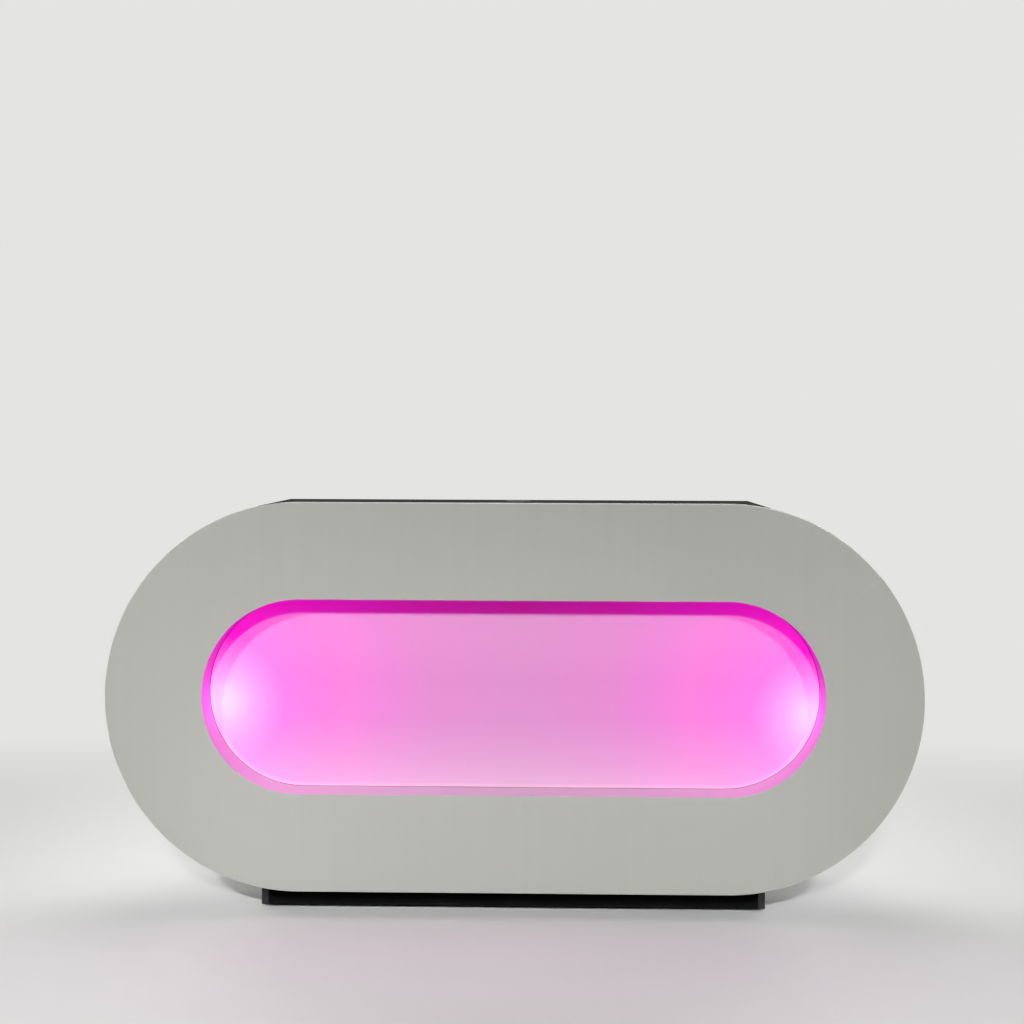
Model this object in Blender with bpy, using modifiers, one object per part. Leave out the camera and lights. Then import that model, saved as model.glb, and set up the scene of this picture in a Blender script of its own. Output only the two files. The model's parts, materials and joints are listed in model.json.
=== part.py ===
"""DJ booth: a white pill-shaped front with a back-lit recess, on a light drum and a black desk.

Metres, +Z up. The front faces -Y, the floor is z = 0, and the origin is under the middle of the booth.
"""

import math

import bmesh
import bpy
from mathutils import Vector

# Fits
SEAT_GAP = 0.0003
RUN_GAP = 0.0006
DOOR_GAP = 0.0015

# Fascia and recess
STRAIGHT = 1.100
FASCIA_R = 0.500
OPENING_R = 0.250
FASCIA_T = 0.018
FLOOR_GAP = 0.060
LIP_DEPTH = 0.120
LINER_WALL = 0.009
FLANGE_T = 0.015
DIFFUSER_T = 0.005
DIFFUSER_LAP = 0.030
RETAINER_T = 0.012
RETAINER_LAP = 0.020
RETAINER_SETBACK = 0.008

# Light drum
BAND_T = 0.009
BACK_T = 0.012
CHAMBER_DEPTH = 0.1127
RIB_T = 0.018
RIB_INSET = 0.170

# Desk
UPSTAND = 0.011
WORKTOP_T = 0.031
WORKTOP_SIDE_LIP = 0.005
WORKTOP_REAR_LIP = 0.0077
CABINET_W = 1.310
CABINET_DEPTH = 0.350
BOARD_T = 0.018
TOE_SETBACK = 0.080
SKIRT_CLEAR = 0.008
SHELF_TOP = 0.560
SHELF_REAR_INSET = 0.015
CLEAT = 0.022

# Levelling legs
LEG_INSET = 0.060
PAD_R = 0.026
PAD_T = 0.010
STEM_R = 0.011
STEM_LENGTH = 0.050
SOCKET_R = 0.019
SOCKET_PLATE_R = 0.032
SOCKET_PLATE_T = 0.004

# Worktop grommet
GROMMET_FROM_REAR = 0.075
GROMMET_R = 0.031
GROMMET_WALL = 0.0025
GROMMET_RIM_R = 0.037
GROMMET_RIM_T = 0.0025
GROMMET_LEDGE = 0.004
CAP_T = 0.003
CAP_SLOT_W = 0.018
CAP_SLOT_DEPTH = 0.022

# Lamps
HEAD_FRONT = 0.045
HEAD_REAR = 0.022
HEAD_W = 0.070
HEAD_H = 0.150
FIN_COUNT = 6
FIN_DEPTH = 0.012
LENS_T = 0.003
LENS_BORDER = 0.006
LAMP_END_ROOM = 0.0537
YOKE_T = 0.003
YOKE_W = 0.020
YOKE_END = 0.012
BOLT_R = 0.004
BOLT_DEPTH = 0.014
BOLT_HEAD_R = 0.007
BOLT_HEAD_T = 0.004

# Service hatches
HATCH_H = 0.340
HATCH_LAND = 0.020
HATCH_SIDE_CLEAR = 0.060
HATCH_CORNER_R = 0.010
HINGE_LENGTH = 0.240
KNUCKLES = 5
KNUCKLE_R = 0.004
HINGE_PIN_R = 0.0015
LEAF_T = 0.0015
LEAF_W = 0.022
LATCH_INSET = 0.022
LATCH_SHAFT_R = 0.004
LATCH_KNOB_LENGTH = 0.036
LATCH_KNOB_W = 0.014
LATCH_KNOB_T = 0.011
CAM_LENGTH = 0.036
CAM_W = 0.012
CAM_T = 0.003

# Supply and controls
DRIVER_W = 0.200
DRIVER_H = 0.100
DRIVER_T = 0.045
PANEL_W = 0.150
PANEL_H = 0.080
PANEL_T = 0.003
PANEL_LAP = 0.008
INLET_X = -0.034
INLET_W = 0.052
INLET_H = 0.032
INLET_RIM = 0.003
INLET_RIM_T = 0.002
SOCKET_W = 0.022
SOCKET_H = 0.017
SOCKET_DEPTH = 0.012
SOCKET_OFFSET = -0.011
ROCKER_W = 0.012
ROCKER_H = 0.019
ROCKER_PROUD = 0.0034
ROCKER_DIP = 0.0018
ROCKER_T = 0.004
ROCKER_SINK = 0.001
ROCKER_OFFSET = 0.013
ROCKER_PIN_R = 0.0012
ROCKER_PIN_OUT = 0.0012
ROCKER_TILT = math.radians(8)
ROCKER_ROOM = 0.0012
BUTTON_NAMES = ("colour", "level", "mode")
BUTTON_FIRST_X = 0.018
BUTTON_PITCH = 0.018
BUTTON_R = 0.0045
BUTTON_PROUD = 0.0035
BUTTON_RIM = 0.0015
BUTTON_RIM_T = 0.0015
BUTTON_STEM_R = 0.003
BUTTON_TRAVEL = 0.0015

# Lamp cables
CABLE_R = 0.004
CABLE_FROM_BACK = 0.022
CABLE_TAIL = 0.050
CABLE_LEAVES = -30
CABLE_CLEAR = 0.004
CABLE_STEP = 0.022

# Fineness of round shapes
ARC_STEPS = 36
ROUND_SIDES = 24
SMALL_SIDES = 16
CORNER_STEPS = 5

# Heights
CENTRE_Z = FLOOR_GAP + FASCIA_R
WORKTOP_TOP = CENTRE_Z + FASCIA_R - UPSTAND
WORKTOP_UNDER = WORKTOP_TOP - WORKTOP_T
DRUM_R = WORKTOP_UNDER - SEAT_GAP - CENTRE_Z
BAND_IN_R = DRUM_R - BAND_T
BASE_TOP = CENTRE_Z - DRUM_R - SEAT_GAP
BASE_UNDER = BASE_TOP - BOARD_T

# Depths, from the fascia's face backwards
DRUM_DEPTH = LIP_DEPTH + DIFFUSER_T + SEAT_GAP + RETAINER_T + CHAMBER_DEPTH + BACK_T
DEPTH = DRUM_DEPTH + SEAT_GAP + CABINET_DEPTH + WORKTOP_REAR_LIP
FRONT = -DEPTH / 2
FASCIA_BACK = FRONT + FASCIA_T
DIFFUSER_FRONT = FRONT + LIP_DEPTH
RETAINER_FRONT = DIFFUSER_FRONT + DIFFUSER_T + SEAT_GAP
BACK_REAR = FRONT + DRUM_DEPTH
BACK_FRONT = BACK_REAR - BACK_T
CABINET_FRONT = BACK_REAR + SEAT_GAP
CABINET_REAR = CABINET_FRONT + CABINET_DEPTH
TOE_FRONT = FRONT + TOE_SETBACK

# Widths, from the middle outwards
HALF_STRAIGHT = STRAIGHT / 2
RETAINER_R = OPENING_R + DIFFUSER_LAP + RETAINER_LAP
RIB_X = HALF_STRAIGHT - RIB_INSET
SIDE_OUTER = CABINET_W / 2
SIDE_INNER = SIDE_OUTER - BOARD_T
LAMP_SWING = math.hypot(HEAD_FRONT, HEAD_W / 2)
LAMP_X = HALF_STRAIGHT + BAND_IN_R - LAMP_END_ROOM
LAMP_Y = BACK_FRONT - SEAT_GAP - YOKE_T - RUN_GAP - LAMP_SWING
ARM_IN = HEAD_H / 2 + RUN_GAP
ARM_OUT = ARM_IN + YOKE_T
HATCH_OUTER_X = LAMP_X - YOKE_W / 2 - HATCH_LAND
HATCH_INNER_X = SIDE_OUTER + HATCH_SIDE_CLEAR
HINGE_X = HATCH_OUTER_X - DOOR_GAP / 2
HINGE_Y = BACK_REAR + SEAT_GAP + KNUCKLE_R
LATCH_X = HATCH_INNER_X + DOOR_GAP + LATCH_INSET

# Supply panel, on the back of the drum, with the driver standing on the band behind it
DRIVER_Z = CENTRE_Z - BAND_IN_R + SEAT_GAP + DRIVER_H / 2
DRIVER_REAR = BACK_FRONT - SEAT_GAP
PANEL_FRONT = BACK_REAR + SEAT_GAP
PANEL_REAR = PANEL_FRONT + PANEL_T
CABLE_Y = BACK_FRONT - CABLE_FROM_BACK
CABLE_RUN_R = BAND_IN_R - CABLE_CLEAR - CABLE_R

SIDES = (("left", -1), ("right", 1))

# Turns that stand a flat outline up: facing the front, or facing the side
LEVEL = (0.0, 0.0, 0.0)
FACING_FRONT = (math.pi / 2, 0.0, 0.0)
FACING_SIDE = (math.pi / 2, 0.0, math.pi / 2)
POINTING_BACK = (-math.pi / 2, 0.0, 0.0)
POINTING_SIDE = (0.0, math.pi / 2, 0.0)


def new_collection(name):
    collection = bpy.data.collections.new(name)
    bpy.context.scene.collection.children.link(collection)
    return collection


for old in list(bpy.data.objects):
    bpy.data.objects.remove(old, do_unlink=True)
PARTS = new_collection("dj_booth")
CUTTERS = new_collection("dj_booth_cutters")


def new_material(name, colour, roughness, metallic=0.0):
    material = bpy.data.materials.new(name)
    material.use_nodes = True
    shader = material.node_tree.nodes["Principled BSDF"]
    shader.inputs["Base Color"].default_value = (*colour, 1.0)
    shader.inputs["Roughness"].default_value = roughness
    shader.inputs["Metallic"].default_value = metallic
    return material


SATIN_WHITE = new_material("satin_white_lacquer", (0.72, 0.72, 0.69), 0.38)
OPAL = new_material("opal_acrylic", (0.90, 0.55, 0.82), 0.45)
BLACK_LAMINATE = new_material("black_laminate", (0.018, 0.017, 0.020), 0.45)
BLACK_PAINT = new_material("black_paint", (0.022, 0.022, 0.022), 0.60)
PLYWOOD = new_material("birch_plywood", (0.55, 0.40, 0.24), 0.65)
BLACK_PLASTIC = new_material("black_plastic", (0.020, 0.020, 0.021), 0.42)
GREY_PLASTIC = new_material("grey_plastic", (0.30, 0.30, 0.31), 0.40)
ZINC_STEEL = new_material("zinc_plated_steel", (0.62, 0.62, 0.60), 0.35, 1.0)
CAST_ALUMINIUM = new_material("cast_aluminium", (0.10, 0.10, 0.11), 0.50, 0.6)
LENS_PLASTIC = new_material("lens_polycarbonate", (0.86, 0.80, 0.88), 0.12)
CABLE_SHEATH = new_material("cable_sheath", (0.015, 0.015, 0.015), 0.55)


def add_part(name, data, material=None, at=(0, 0, 0), turn=LEVEL):
    """A named object: a part if it has a material, and a cutter or a lump to join if not."""
    obj = bpy.data.objects.new(name, data)
    obj.location = at
    obj.rotation_euler = turn
    if material:
        data.materials.append(material)
        PARTS.objects.link(obj)
    else:
        CUTTERS.objects.link(obj)
        obj.hide_render = True
        obj.display_type = "WIRE"
    return obj


def arc(centre, radius, start, end, steps=ARC_STEPS):
    """Points on an arc, from start to end in degrees, both included."""
    angles = [math.radians(start + (end - start) * i / steps) for i in range(steps + 1)]
    return [(centre[0] + radius * math.cos(a), centre[1] + radius * math.sin(a)) for a in angles]


def circle(radius, centre=(0, 0), sides=SMALL_SIDES):
    return arc(centre, radius, 0, 360, sides)[:-1]


def pill(half, radius, steps=ARC_STEPS):
    """A pill lying along the first axis, with half its straight run on each side of the middle."""
    return arc((half, 0), radius, 90, -90, steps) + arc((-half, 0), radius, 270, 90, steps)


def rectangle(low, high, radius=0.0):
    """A rectangle between two corners, with rounded corners if it has a radius."""
    if not radius:
        return [low, (low[0], high[1]), high, (high[0], low[1])]
    (x0, y0), (x1, y1) = low, high
    corners = (
        ((x0 + radius, y0 + radius), 270, 180),
        ((x0 + radius, y1 - radius), 180, 90),
        ((x1 - radius, y1 - radius), 90, 0),
        ((x1 - radius, y0 + radius), 0, -90),
    )
    return [p for centre, a, b in corners for p in arc(centre, radius, a, b, CORNER_STEPS)]


def flat_outline(name, loops, thickness, material=None, at=(0, 0, 0), turn=LEVEL):
    """A board cut to its first loop, with the other loops as holes, half its thickness each way from at."""
    curve = bpy.data.curves.new(name, "CURVE")
    curve.dimensions = "2D"
    curve.fill_mode = "BOTH"
    curve.extrude = thickness / 2
    for loop in loops:
        spline = curve.splines.new("POLY")
        spline.points.add(len(loop) - 1)
        for point, (u, v) in zip(spline.points, loop):
            point.co = (u, v, 0, 1)
        spline.use_cyclic_u = True
    return add_part(name, curve, material, at, turn)


def as_mesh(obj, material=None):
    """The curve as a welded mesh in the same place, so that it can be cut, joined or used to cut."""
    bpy.context.view_layer.update()
    evaluated = obj.evaluated_get(bpy.context.evaluated_depsgraph_get())
    mesh = bpy.data.meshes.new_from_object(evaluated)
    shape = bmesh.new()
    shape.from_mesh(mesh)
    bmesh.ops.remove_doubles(shape, verts=shape.verts, dist=1e-6)
    bmesh.ops.recalc_face_normals(shape, faces=shape.faces)
    shape.to_mesh(mesh)
    shape.free()
    mesh.materials.clear()
    name, world = obj.name, obj.matrix_world.copy()
    bpy.data.objects.remove(obj, do_unlink=True)
    solid = add_part(name, mesh, material)
    solid.matrix_world = world
    return solid


def box(name, low, high, material=None):
    """A box between two corners."""
    low, high = Vector(low), Vector(high)
    shape = bmesh.new()
    bmesh.ops.create_cube(shape, size=1.0)
    bmesh.ops.scale(shape, vec=high - low, verts=shape.verts)
    mesh = bpy.data.meshes.new(name)
    shape.to_mesh(mesh)
    shape.free()
    return add_part(name, mesh, material, (low + high) / 2)


def cylinder(name, radius, length, at, turn=LEVEL, material=None, sides=SMALL_SIDES):
    """A round bar centred on at, along Z before it is turned."""
    shape = bmesh.new()
    bmesh.ops.create_cone(
        shape, cap_ends=True, segments=sides, radius1=radius, radius2=radius, depth=length
    )
    mesh = bpy.data.meshes.new(name)
    shape.to_mesh(mesh)
    shape.free()
    return add_part(name, mesh, material, at, turn)


def turned(name, profile, at, material=None, turn=LEVEL, closed=False, sides=ROUND_SIDES):
    """A profile of (radius, height) points, from the top down its outer side, spun round Z."""
    count = len(profile)
    edges = [(i, i + 1) for i in range(count - 1)]
    if closed:
        edges.append((count - 1, 0))
    mesh = bpy.data.meshes.new(name)
    mesh.from_pydata([(r, 0, z) for r, z in profile], edges, [])
    obj = add_part(name, mesh, material, at, turn)
    screw = obj.modifiers.new("turn", "SCREW")
    screw.steps = sides
    screw.render_steps = sides
    screw.use_merge_vertices = True
    screw.merge_threshold = 1e-5
    screw.use_smooth_shade = False
    return obj


def boolean(target, tool, operation):
    modifier = target.modifiers.new(tool.name, "BOOLEAN")
    modifier.operation = operation
    modifier.object = tool


def cut(target, *cutters):
    for cutter in cutters:
        boolean(target, cutter, "DIFFERENCE")


def join(target, *lumps):
    for lump in lumps:
        boolean(target, lump, "UNION")


def carry(name, at, *pieces):
    """An empty on a joint's axis, which its moving pieces are parented to."""
    axis = bpy.data.objects.new(name, None)
    axis.location = at
    PARTS.objects.link(axis)
    bpy.context.view_layer.update()
    for piece in pieces:
        piece.parent = axis
        piece.matrix_parent_inverse = axis.matrix_world.inverted()
    return axis


def pill_board(name, radius, front, thickness, material, hole_radius=None, holes=()):
    """An upright pill board on the booth's centre, with its front face at front."""
    loops = [pill(HALF_STRAIGHT, radius)]
    if hole_radius:
        loops.append(pill(HALF_STRAIGHT, hole_radius))
    loops.extend(holes)
    middle = (0, front + thickness / 2, CENTRE_Z)
    return flat_outline(name, loops, thickness, material, middle, FACING_FRONT)


def make_facade():
    """The white front, the wall of its recess, and the clamped opal sheet behind it."""
    pill_board("front_fascia", FASCIA_R, FRONT, FASCIA_T, SATIN_WHITE, OPENING_R)
    liner_front = FASCIA_BACK + SEAT_GAP
    liner_depth = DIFFUSER_FRONT - SEAT_GAP - liner_front
    liner_out = OPENING_R + LINER_WALL
    pill_board("recess_liner", liner_out, liner_front, liner_depth, SATIN_WHITE, OPENING_R)
    flange_front = DIFFUSER_FRONT - SEAT_GAP - FLANGE_T
    flange_hole = liner_out + SEAT_GAP
    pill_board("liner_flange", RETAINER_R, flange_front, FLANGE_T, PLYWOOD, flange_hole)
    pill_board("diffuser_panel", OPENING_R + DIFFUSER_LAP, DIFFUSER_FRONT, DIFFUSER_T, OPAL)
    retainer_hole = OPENING_R + RETAINER_SETBACK
    pill_board("diffuser_retainer", RETAINER_R, RETAINER_FRONT, RETAINER_T, PLYWOOD, retainer_hole)


def make_bands():
    """The bent rim of the drum, in two halves that meet above and below the middle."""
    front = FASCIA_BACK + SEAT_GAP
    depth = BACK_FRONT - SEAT_GAP - front
    seam = SEAT_GAP / 2
    for side, sign in SIDES:
        outer = arc((HALF_STRAIGHT, 0), DRUM_R, 90, -90)
        inner = arc((HALF_STRAIGHT, 0), BAND_IN_R, -90, 90)
        ends = [(seam, -DRUM_R), (seam, -BAND_IN_R)], [(seam, BAND_IN_R), (seam, DRUM_R)]
        loop = outer + ends[0] + inner + ends[1]
        loop = [(sign * u, v) for u, v in loop]
        middle = (0, front + depth / 2, CENTRE_Z)
        flat_outline(f"drum_band_{side}", [loop], depth, BLACK_PAINT, middle, FACING_FRONT)


def make_ribs():
    """Four boards that tie the clamp rings to the rim, the lower two drilled for the cables."""
    front = FASCIA_BACK + SEAT_GAP
    rear = BACK_FRONT - SEAT_GAP
    near = RETAINER_R + SEAT_GAP
    far = BAND_IN_R - SEAT_GAP
    hole = circle(CABLE_R + SEAT_GAP, (CABLE_Y, -CABLE_RUN_R))
    for side, sign in SIDES:
        at = (sign * RIB_X, 0, CENTRE_Z)
        upper = rectangle((front, near), (rear, far))
        lower = rectangle((front, -far), (rear, -near))
        flat_outline(f"rib_upper_{side}", [upper], RIB_T, PLYWOOD, at, FACING_SIDE)
        flat_outline(f"rib_lower_{side}", [lower, hole], RIB_T, PLYWOOD, at, FACING_SIDE)


def hatch_rectangle(sign, inset=0.0):
    """A hatch's outline about the booth's centre, drawn in by inset on every side."""
    inner, outer = HATCH_INNER_X + inset, HATCH_OUTER_X - inset
    low, high = sorted((sign * inner, sign * outer))
    half = HATCH_H / 2 - inset
    return rectangle((low, -half), (high, half), HATCH_CORNER_R - inset)


def make_drum_back():
    """The black back board, open for the hatches and for the supply panel."""
    panel_hole = rectangle(
        (-PANEL_W / 2 + PANEL_LAP, DRIVER_Z - CENTRE_Z - PANEL_H / 2 + PANEL_LAP),
        (PANEL_W / 2 - PANEL_LAP, DRIVER_Z - CENTRE_Z + PANEL_H / 2 - PANEL_LAP),
    )
    holes = [hatch_rectangle(sign) for _, sign in SIDES] + [panel_hole]
    pill_board("drum_back", DRUM_R, BACK_FRONT, BACK_T, BLACK_PAINT, holes=holes)


def hinge_leaf(name, sign, way, taken):
    """A leaf whose plate lies on the back board: way is +1 away from the middle, -1 towards it."""
    bottom = CENTRE_Z - HINGE_LENGTH / 2
    pitch = HINGE_LENGTH / KNUCKLES
    reach = sign * way
    clear = KNUCKLE_R + RUN_GAP
    xs = sorted((HINGE_X * sign + reach * clear, HINGE_X * sign + reach * (clear + LEAF_W)))
    plate_y = BACK_REAR + SEAT_GAP
    leaf = box(
        name,
        (xs[0], plate_y, bottom),
        (xs[1], plate_y + LEAF_T, bottom + HINGE_LENGTH),
        ZINC_STEEL,
    )
    bite = LEAF_T / 4
    tab_end = clear + LEAF_T
    under = math.sqrt(KNUCKLE_R**2 - (KNUCKLE_R - LEAF_T + bite) ** 2)
    start = math.degrees(math.atan2(-(KNUCKLE_R - LEAF_T + bite), under))
    loop = arc((0, 0), KNUCKLE_R, start, 270, ROUND_SIDES // 2)
    loop += [(tab_end, -KNUCKLE_R + bite), (tab_end, -KNUCKLE_R + LEAF_T - bite)]
    bore = circle(HINGE_PIN_R + SEAT_GAP)
    outline = [[(reach * u, v) for u, v in ring] for ring in (loop, bore)]
    for i in taken:
        middle = (HINGE_X * sign, HINGE_Y, bottom + (i + 0.5) * pitch)
        knuckle = flat_outline(f"{name}_knuckle_{i}", outline, pitch - RUN_GAP, None, middle)
        join(leaf, as_mesh(knuckle))
    return leaf


def hatch_latch(side, sign):
    """A wing knob outside the door, its shaft, and the cam that turns behind the back board."""
    knob_front = BACK_REAR + RUN_GAP
    cam_rear = BACK_FRONT - RUN_GAP
    knob = flat_outline(
        f"hatch_latch_{side}",
        [pill((LATCH_KNOB_LENGTH - LATCH_KNOB_W) / 2, LATCH_KNOB_W / 2, SMALL_SIDES // 2)],
        LATCH_KNOB_T,
        BLACK_PLASTIC,
        (sign * LATCH_X, knob_front + LATCH_KNOB_T / 2, CENTRE_Z),
        (math.pi / 2, math.pi / 2, 0.0),
    )
    latch = as_mesh(knob, BLACK_PLASTIC)
    shaft_front = cam_rear - CAM_T / 2
    shaft_rear = knob_front + LATCH_KNOB_T / 2
    shaft = cylinder(
        f"latch_shaft_{side}",
        LATCH_SHAFT_R,
        shaft_rear - shaft_front,
        (sign * LATCH_X, (shaft_rear + shaft_front) / 2, CENTRE_Z),
        POINTING_BACK,
    )
    cam_half = (CAM_LENGTH - CAM_W) / 2
    cam = flat_outline(
        f"latch_cam_{side}",
        [pill(cam_half, CAM_W / 2, SMALL_SIDES // 2)],
        CAM_T,
        None,
        (sign * LATCH_X, cam_rear - CAM_T / 2, CENTRE_Z + cam_half),
        (math.pi / 2, math.pi / 2, 0.0),
    )
    join(latch, shaft, as_mesh(cam))
    return latch


def make_hatches():
    """The two service doors, each on a five-knuckle hinge at its outer edge."""
    for side, sign in SIDES:
        latch_hole = circle(LATCH_SHAFT_R + RUN_GAP, (sign * LATCH_X, 0))
        door = flat_outline(
            f"hatch_door_{side}",
            [hatch_rectangle(sign, DOOR_GAP), latch_hole],
            BACK_T,
            BLACK_PAINT,
            (0, BACK_FRONT + BACK_T / 2, CENTRE_Z),
            FACING_FRONT,
        )
        hinge_leaf(f"hinge_frame_leaf_{side}", sign, 1, range(0, KNUCKLES, 2))
        door_leaf = hinge_leaf(f"hinge_door_leaf_{side}", sign, -1, range(1, KNUCKLES, 2))
        at = (sign * HINGE_X, HINGE_Y, CENTRE_Z)
        cylinder(f"hinge_pin_{side}", HINGE_PIN_R, HINGE_LENGTH, at, LEVEL, ZINC_STEEL)
        latch = hatch_latch(side, sign)
        carry(f"hatch_axis_{side}", at, door, door_leaf)
        latch_axis = (sign * LATCH_X, BACK_REAR, CENTRE_Z)
        carry(f"latch_axis_{side}", latch_axis, latch)


def head_outline(sign):
    """A lamp head seen from above: a plain body with cooling fins on its outer face."""
    half = HEAD_W / 2
    pitch = HEAD_W / (2 * FIN_COUNT - 1)
    root = HEAD_REAR - FIN_DEPTH
    loop = [(-HEAD_FRONT, -half), (-HEAD_FRONT, half)]
    for i in range(FIN_COUNT):
        top = half - 2 * i * pitch
        loop += [(HEAD_REAR, top), (HEAD_REAR, top - pitch)]
        if i < FIN_COUNT - 1:
            loop += [(root, top - pitch), (root, top - 2 * pitch)]
    return [(sign * u, v) for u, v in loop]


def make_lamp_head(side, sign, pivot):
    """The finned head with its lens pocket and the two pivot holes, and the lens in the pocket."""
    blank = flat_outline(f"lamp_head_{side}", [head_outline(sign)], HEAD_H, None, pivot)
    head = as_mesh(blank, CAST_ALUMINIUM)
    lens_face = pivot[0] - sign * HEAD_FRONT
    lens_seat = lens_face + sign * (LENS_T + SEAT_GAP)
    half_w = HEAD_W / 2 - LENS_BORDER
    half_h = HEAD_H / 2 - LENS_BORDER
    pocket_x = sorted((lens_face - sign * LENS_T, lens_seat))
    pocket = box(
        f"lens_pocket_{side}",
        (pocket_x[0], pivot[1] - half_w, pivot[2] - half_h),
        (pocket_x[1], pivot[1] + half_w, pivot[2] + half_h),
    )
    drill = BOLT_DEPTH + SEAT_GAP
    holes = [
        cylinder(
            f"pivot_hole_{side}_{end}",
            BOLT_R + SEAT_GAP,
            2 * drill,
            pivot + Vector((0, 0, end * HEAD_H / 2)),
        )
        for end in (-1, 1)
    ]
    cut(head, pocket, *holes)
    lens_x = sorted((lens_face, lens_seat - sign * SEAT_GAP))
    lens = box(
        f"lamp_lens_{side}",
        (lens_x[0], pivot[1] - half_w + SEAT_GAP, pivot[2] - half_h + SEAT_GAP),
        (lens_x[1], pivot[1] + half_w - SEAT_GAP, pivot[2] + half_h - SEAT_GAP),
        LENS_PLASTIC,
    )
    return head, lens


def make_lamps():
    """A colour lamp at each end of the drum, panning in a strip yoke on two bolts."""
    for side, sign in SIDES:
        pivot = Vector((sign * LAMP_X, LAMP_Y, CENTRE_Z))
        rear = BACK_FRONT - SEAT_GAP
        tip = LAMP_Y - YOKE_END
        loop = [
            (tip, ARM_IN),
            (tip, ARM_OUT),
            (rear, ARM_OUT),
            (rear, -ARM_OUT),
            (tip, -ARM_OUT),
            (tip, -ARM_IN),
            (rear - YOKE_T, -ARM_IN),
            (rear - YOKE_T, ARM_IN),
        ]
        at = (pivot[0], 0, CENTRE_Z)
        strip = flat_outline(f"lamp_yoke_{side}", [loop], YOKE_W, None, at, FACING_SIDE)
        yoke = as_mesh(strip, ZINC_STEEL)
        cut(yoke, cylinder(f"yoke_drill_{side}", BOLT_R + SEAT_GAP, 4 * ARM_OUT, pivot))
        head, lens = make_lamp_head(side, sign, pivot)
        for end, word in ((-1, "lower"), (1, "upper")):
            seat = ARM_OUT + SEAT_GAP
            profile = [
                (0, seat + BOLT_HEAD_T),
                (BOLT_HEAD_R, seat + BOLT_HEAD_T),
                (BOLT_HEAD_R, seat),
                (BOLT_R, seat),
                (BOLT_R, HEAD_H / 2 - BOLT_DEPTH),
                (0, HEAD_H / 2 - BOLT_DEPTH),
            ]
            turn = LEVEL if end > 0 else (math.pi, 0.0, 0.0)
            turned(f"lamp_bolt_{word}_{side}", profile, pivot, ZINC_STEEL, turn, sides=SMALL_SIDES)
        carry(f"lamp_axis_{side}", pivot, head, lens)


def smooth_path(knots, step):
    """Points about a step apart on a smooth curve through the knots."""
    knots = [Vector(k) for k in knots]
    ends = [2 * knots[0] - knots[1], *knots, 2 * knots[-1] - knots[-2]]
    points = []
    for before, start, end, after in zip(ends, ends[1:], ends[2:], ends[3:]):
        count = max(1, round((end - start).length / step))
        for i in range(count):
            t = i / count
            points.append(
                0.5
                * (
                    2 * start
                    + (end - before) * t
                    + (2 * before - 5 * start + 4 * end - after) * t**2
                    + (3 * start - before - 3 * end + after) * t**3
                )
            )
    return [*points, knots[-1]]


def make_cables():
    """A lead from each end of the driver, along the rim and up into the lamp's lower bolt."""
    floor = CENTRE_Z - CABLE_RUN_R
    bolt_end = CENTRE_Z - ARM_OUT - SEAT_GAP - BOLT_HEAD_T - SEAT_GAP
    gland = DRIVER_W / 2 + SEAT_GAP
    for side, sign in SIDES:
        bend = arc((HALF_STRAIGHT, CENTRE_Z), CABLE_RUN_R, -90, CABLE_LEAVES, CORNER_STEPS)
        drift = (LAMP_Y - CABLE_Y) / (CORNER_STEPS + 1)
        climb = [(x, CABLE_Y + i * drift, z) for i, (x, z) in enumerate(bend)]
        knots = [
            (gland, CABLE_Y, floor),
            ((gland + RIB_X) / 2, CABLE_Y, floor),
            (RIB_X, CABLE_Y, floor),
            *climb,
            (LAMP_X, LAMP_Y, bolt_end - CABLE_TAIL),
            (LAMP_X, LAMP_Y, bolt_end),
        ]
        path = smooth_path([(sign * x, y, z) for x, y, z in knots], CABLE_STEP)
        curve = bpy.data.curves.new(f"lamp_cable_{side}", "CURVE")
        curve.dimensions = "3D"
        curve.bevel_depth = CABLE_R
        curve.bevel_resolution = 2
        curve.use_fill_caps = True
        spline = curve.splines.new("POLY")
        spline.points.add(len(path) - 1)
        for point, place in zip(spline.points, path):
            point.co = (*place, 1)
        add_part(f"lamp_cable_{side}", curve, CABLE_SHEATH)


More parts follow.
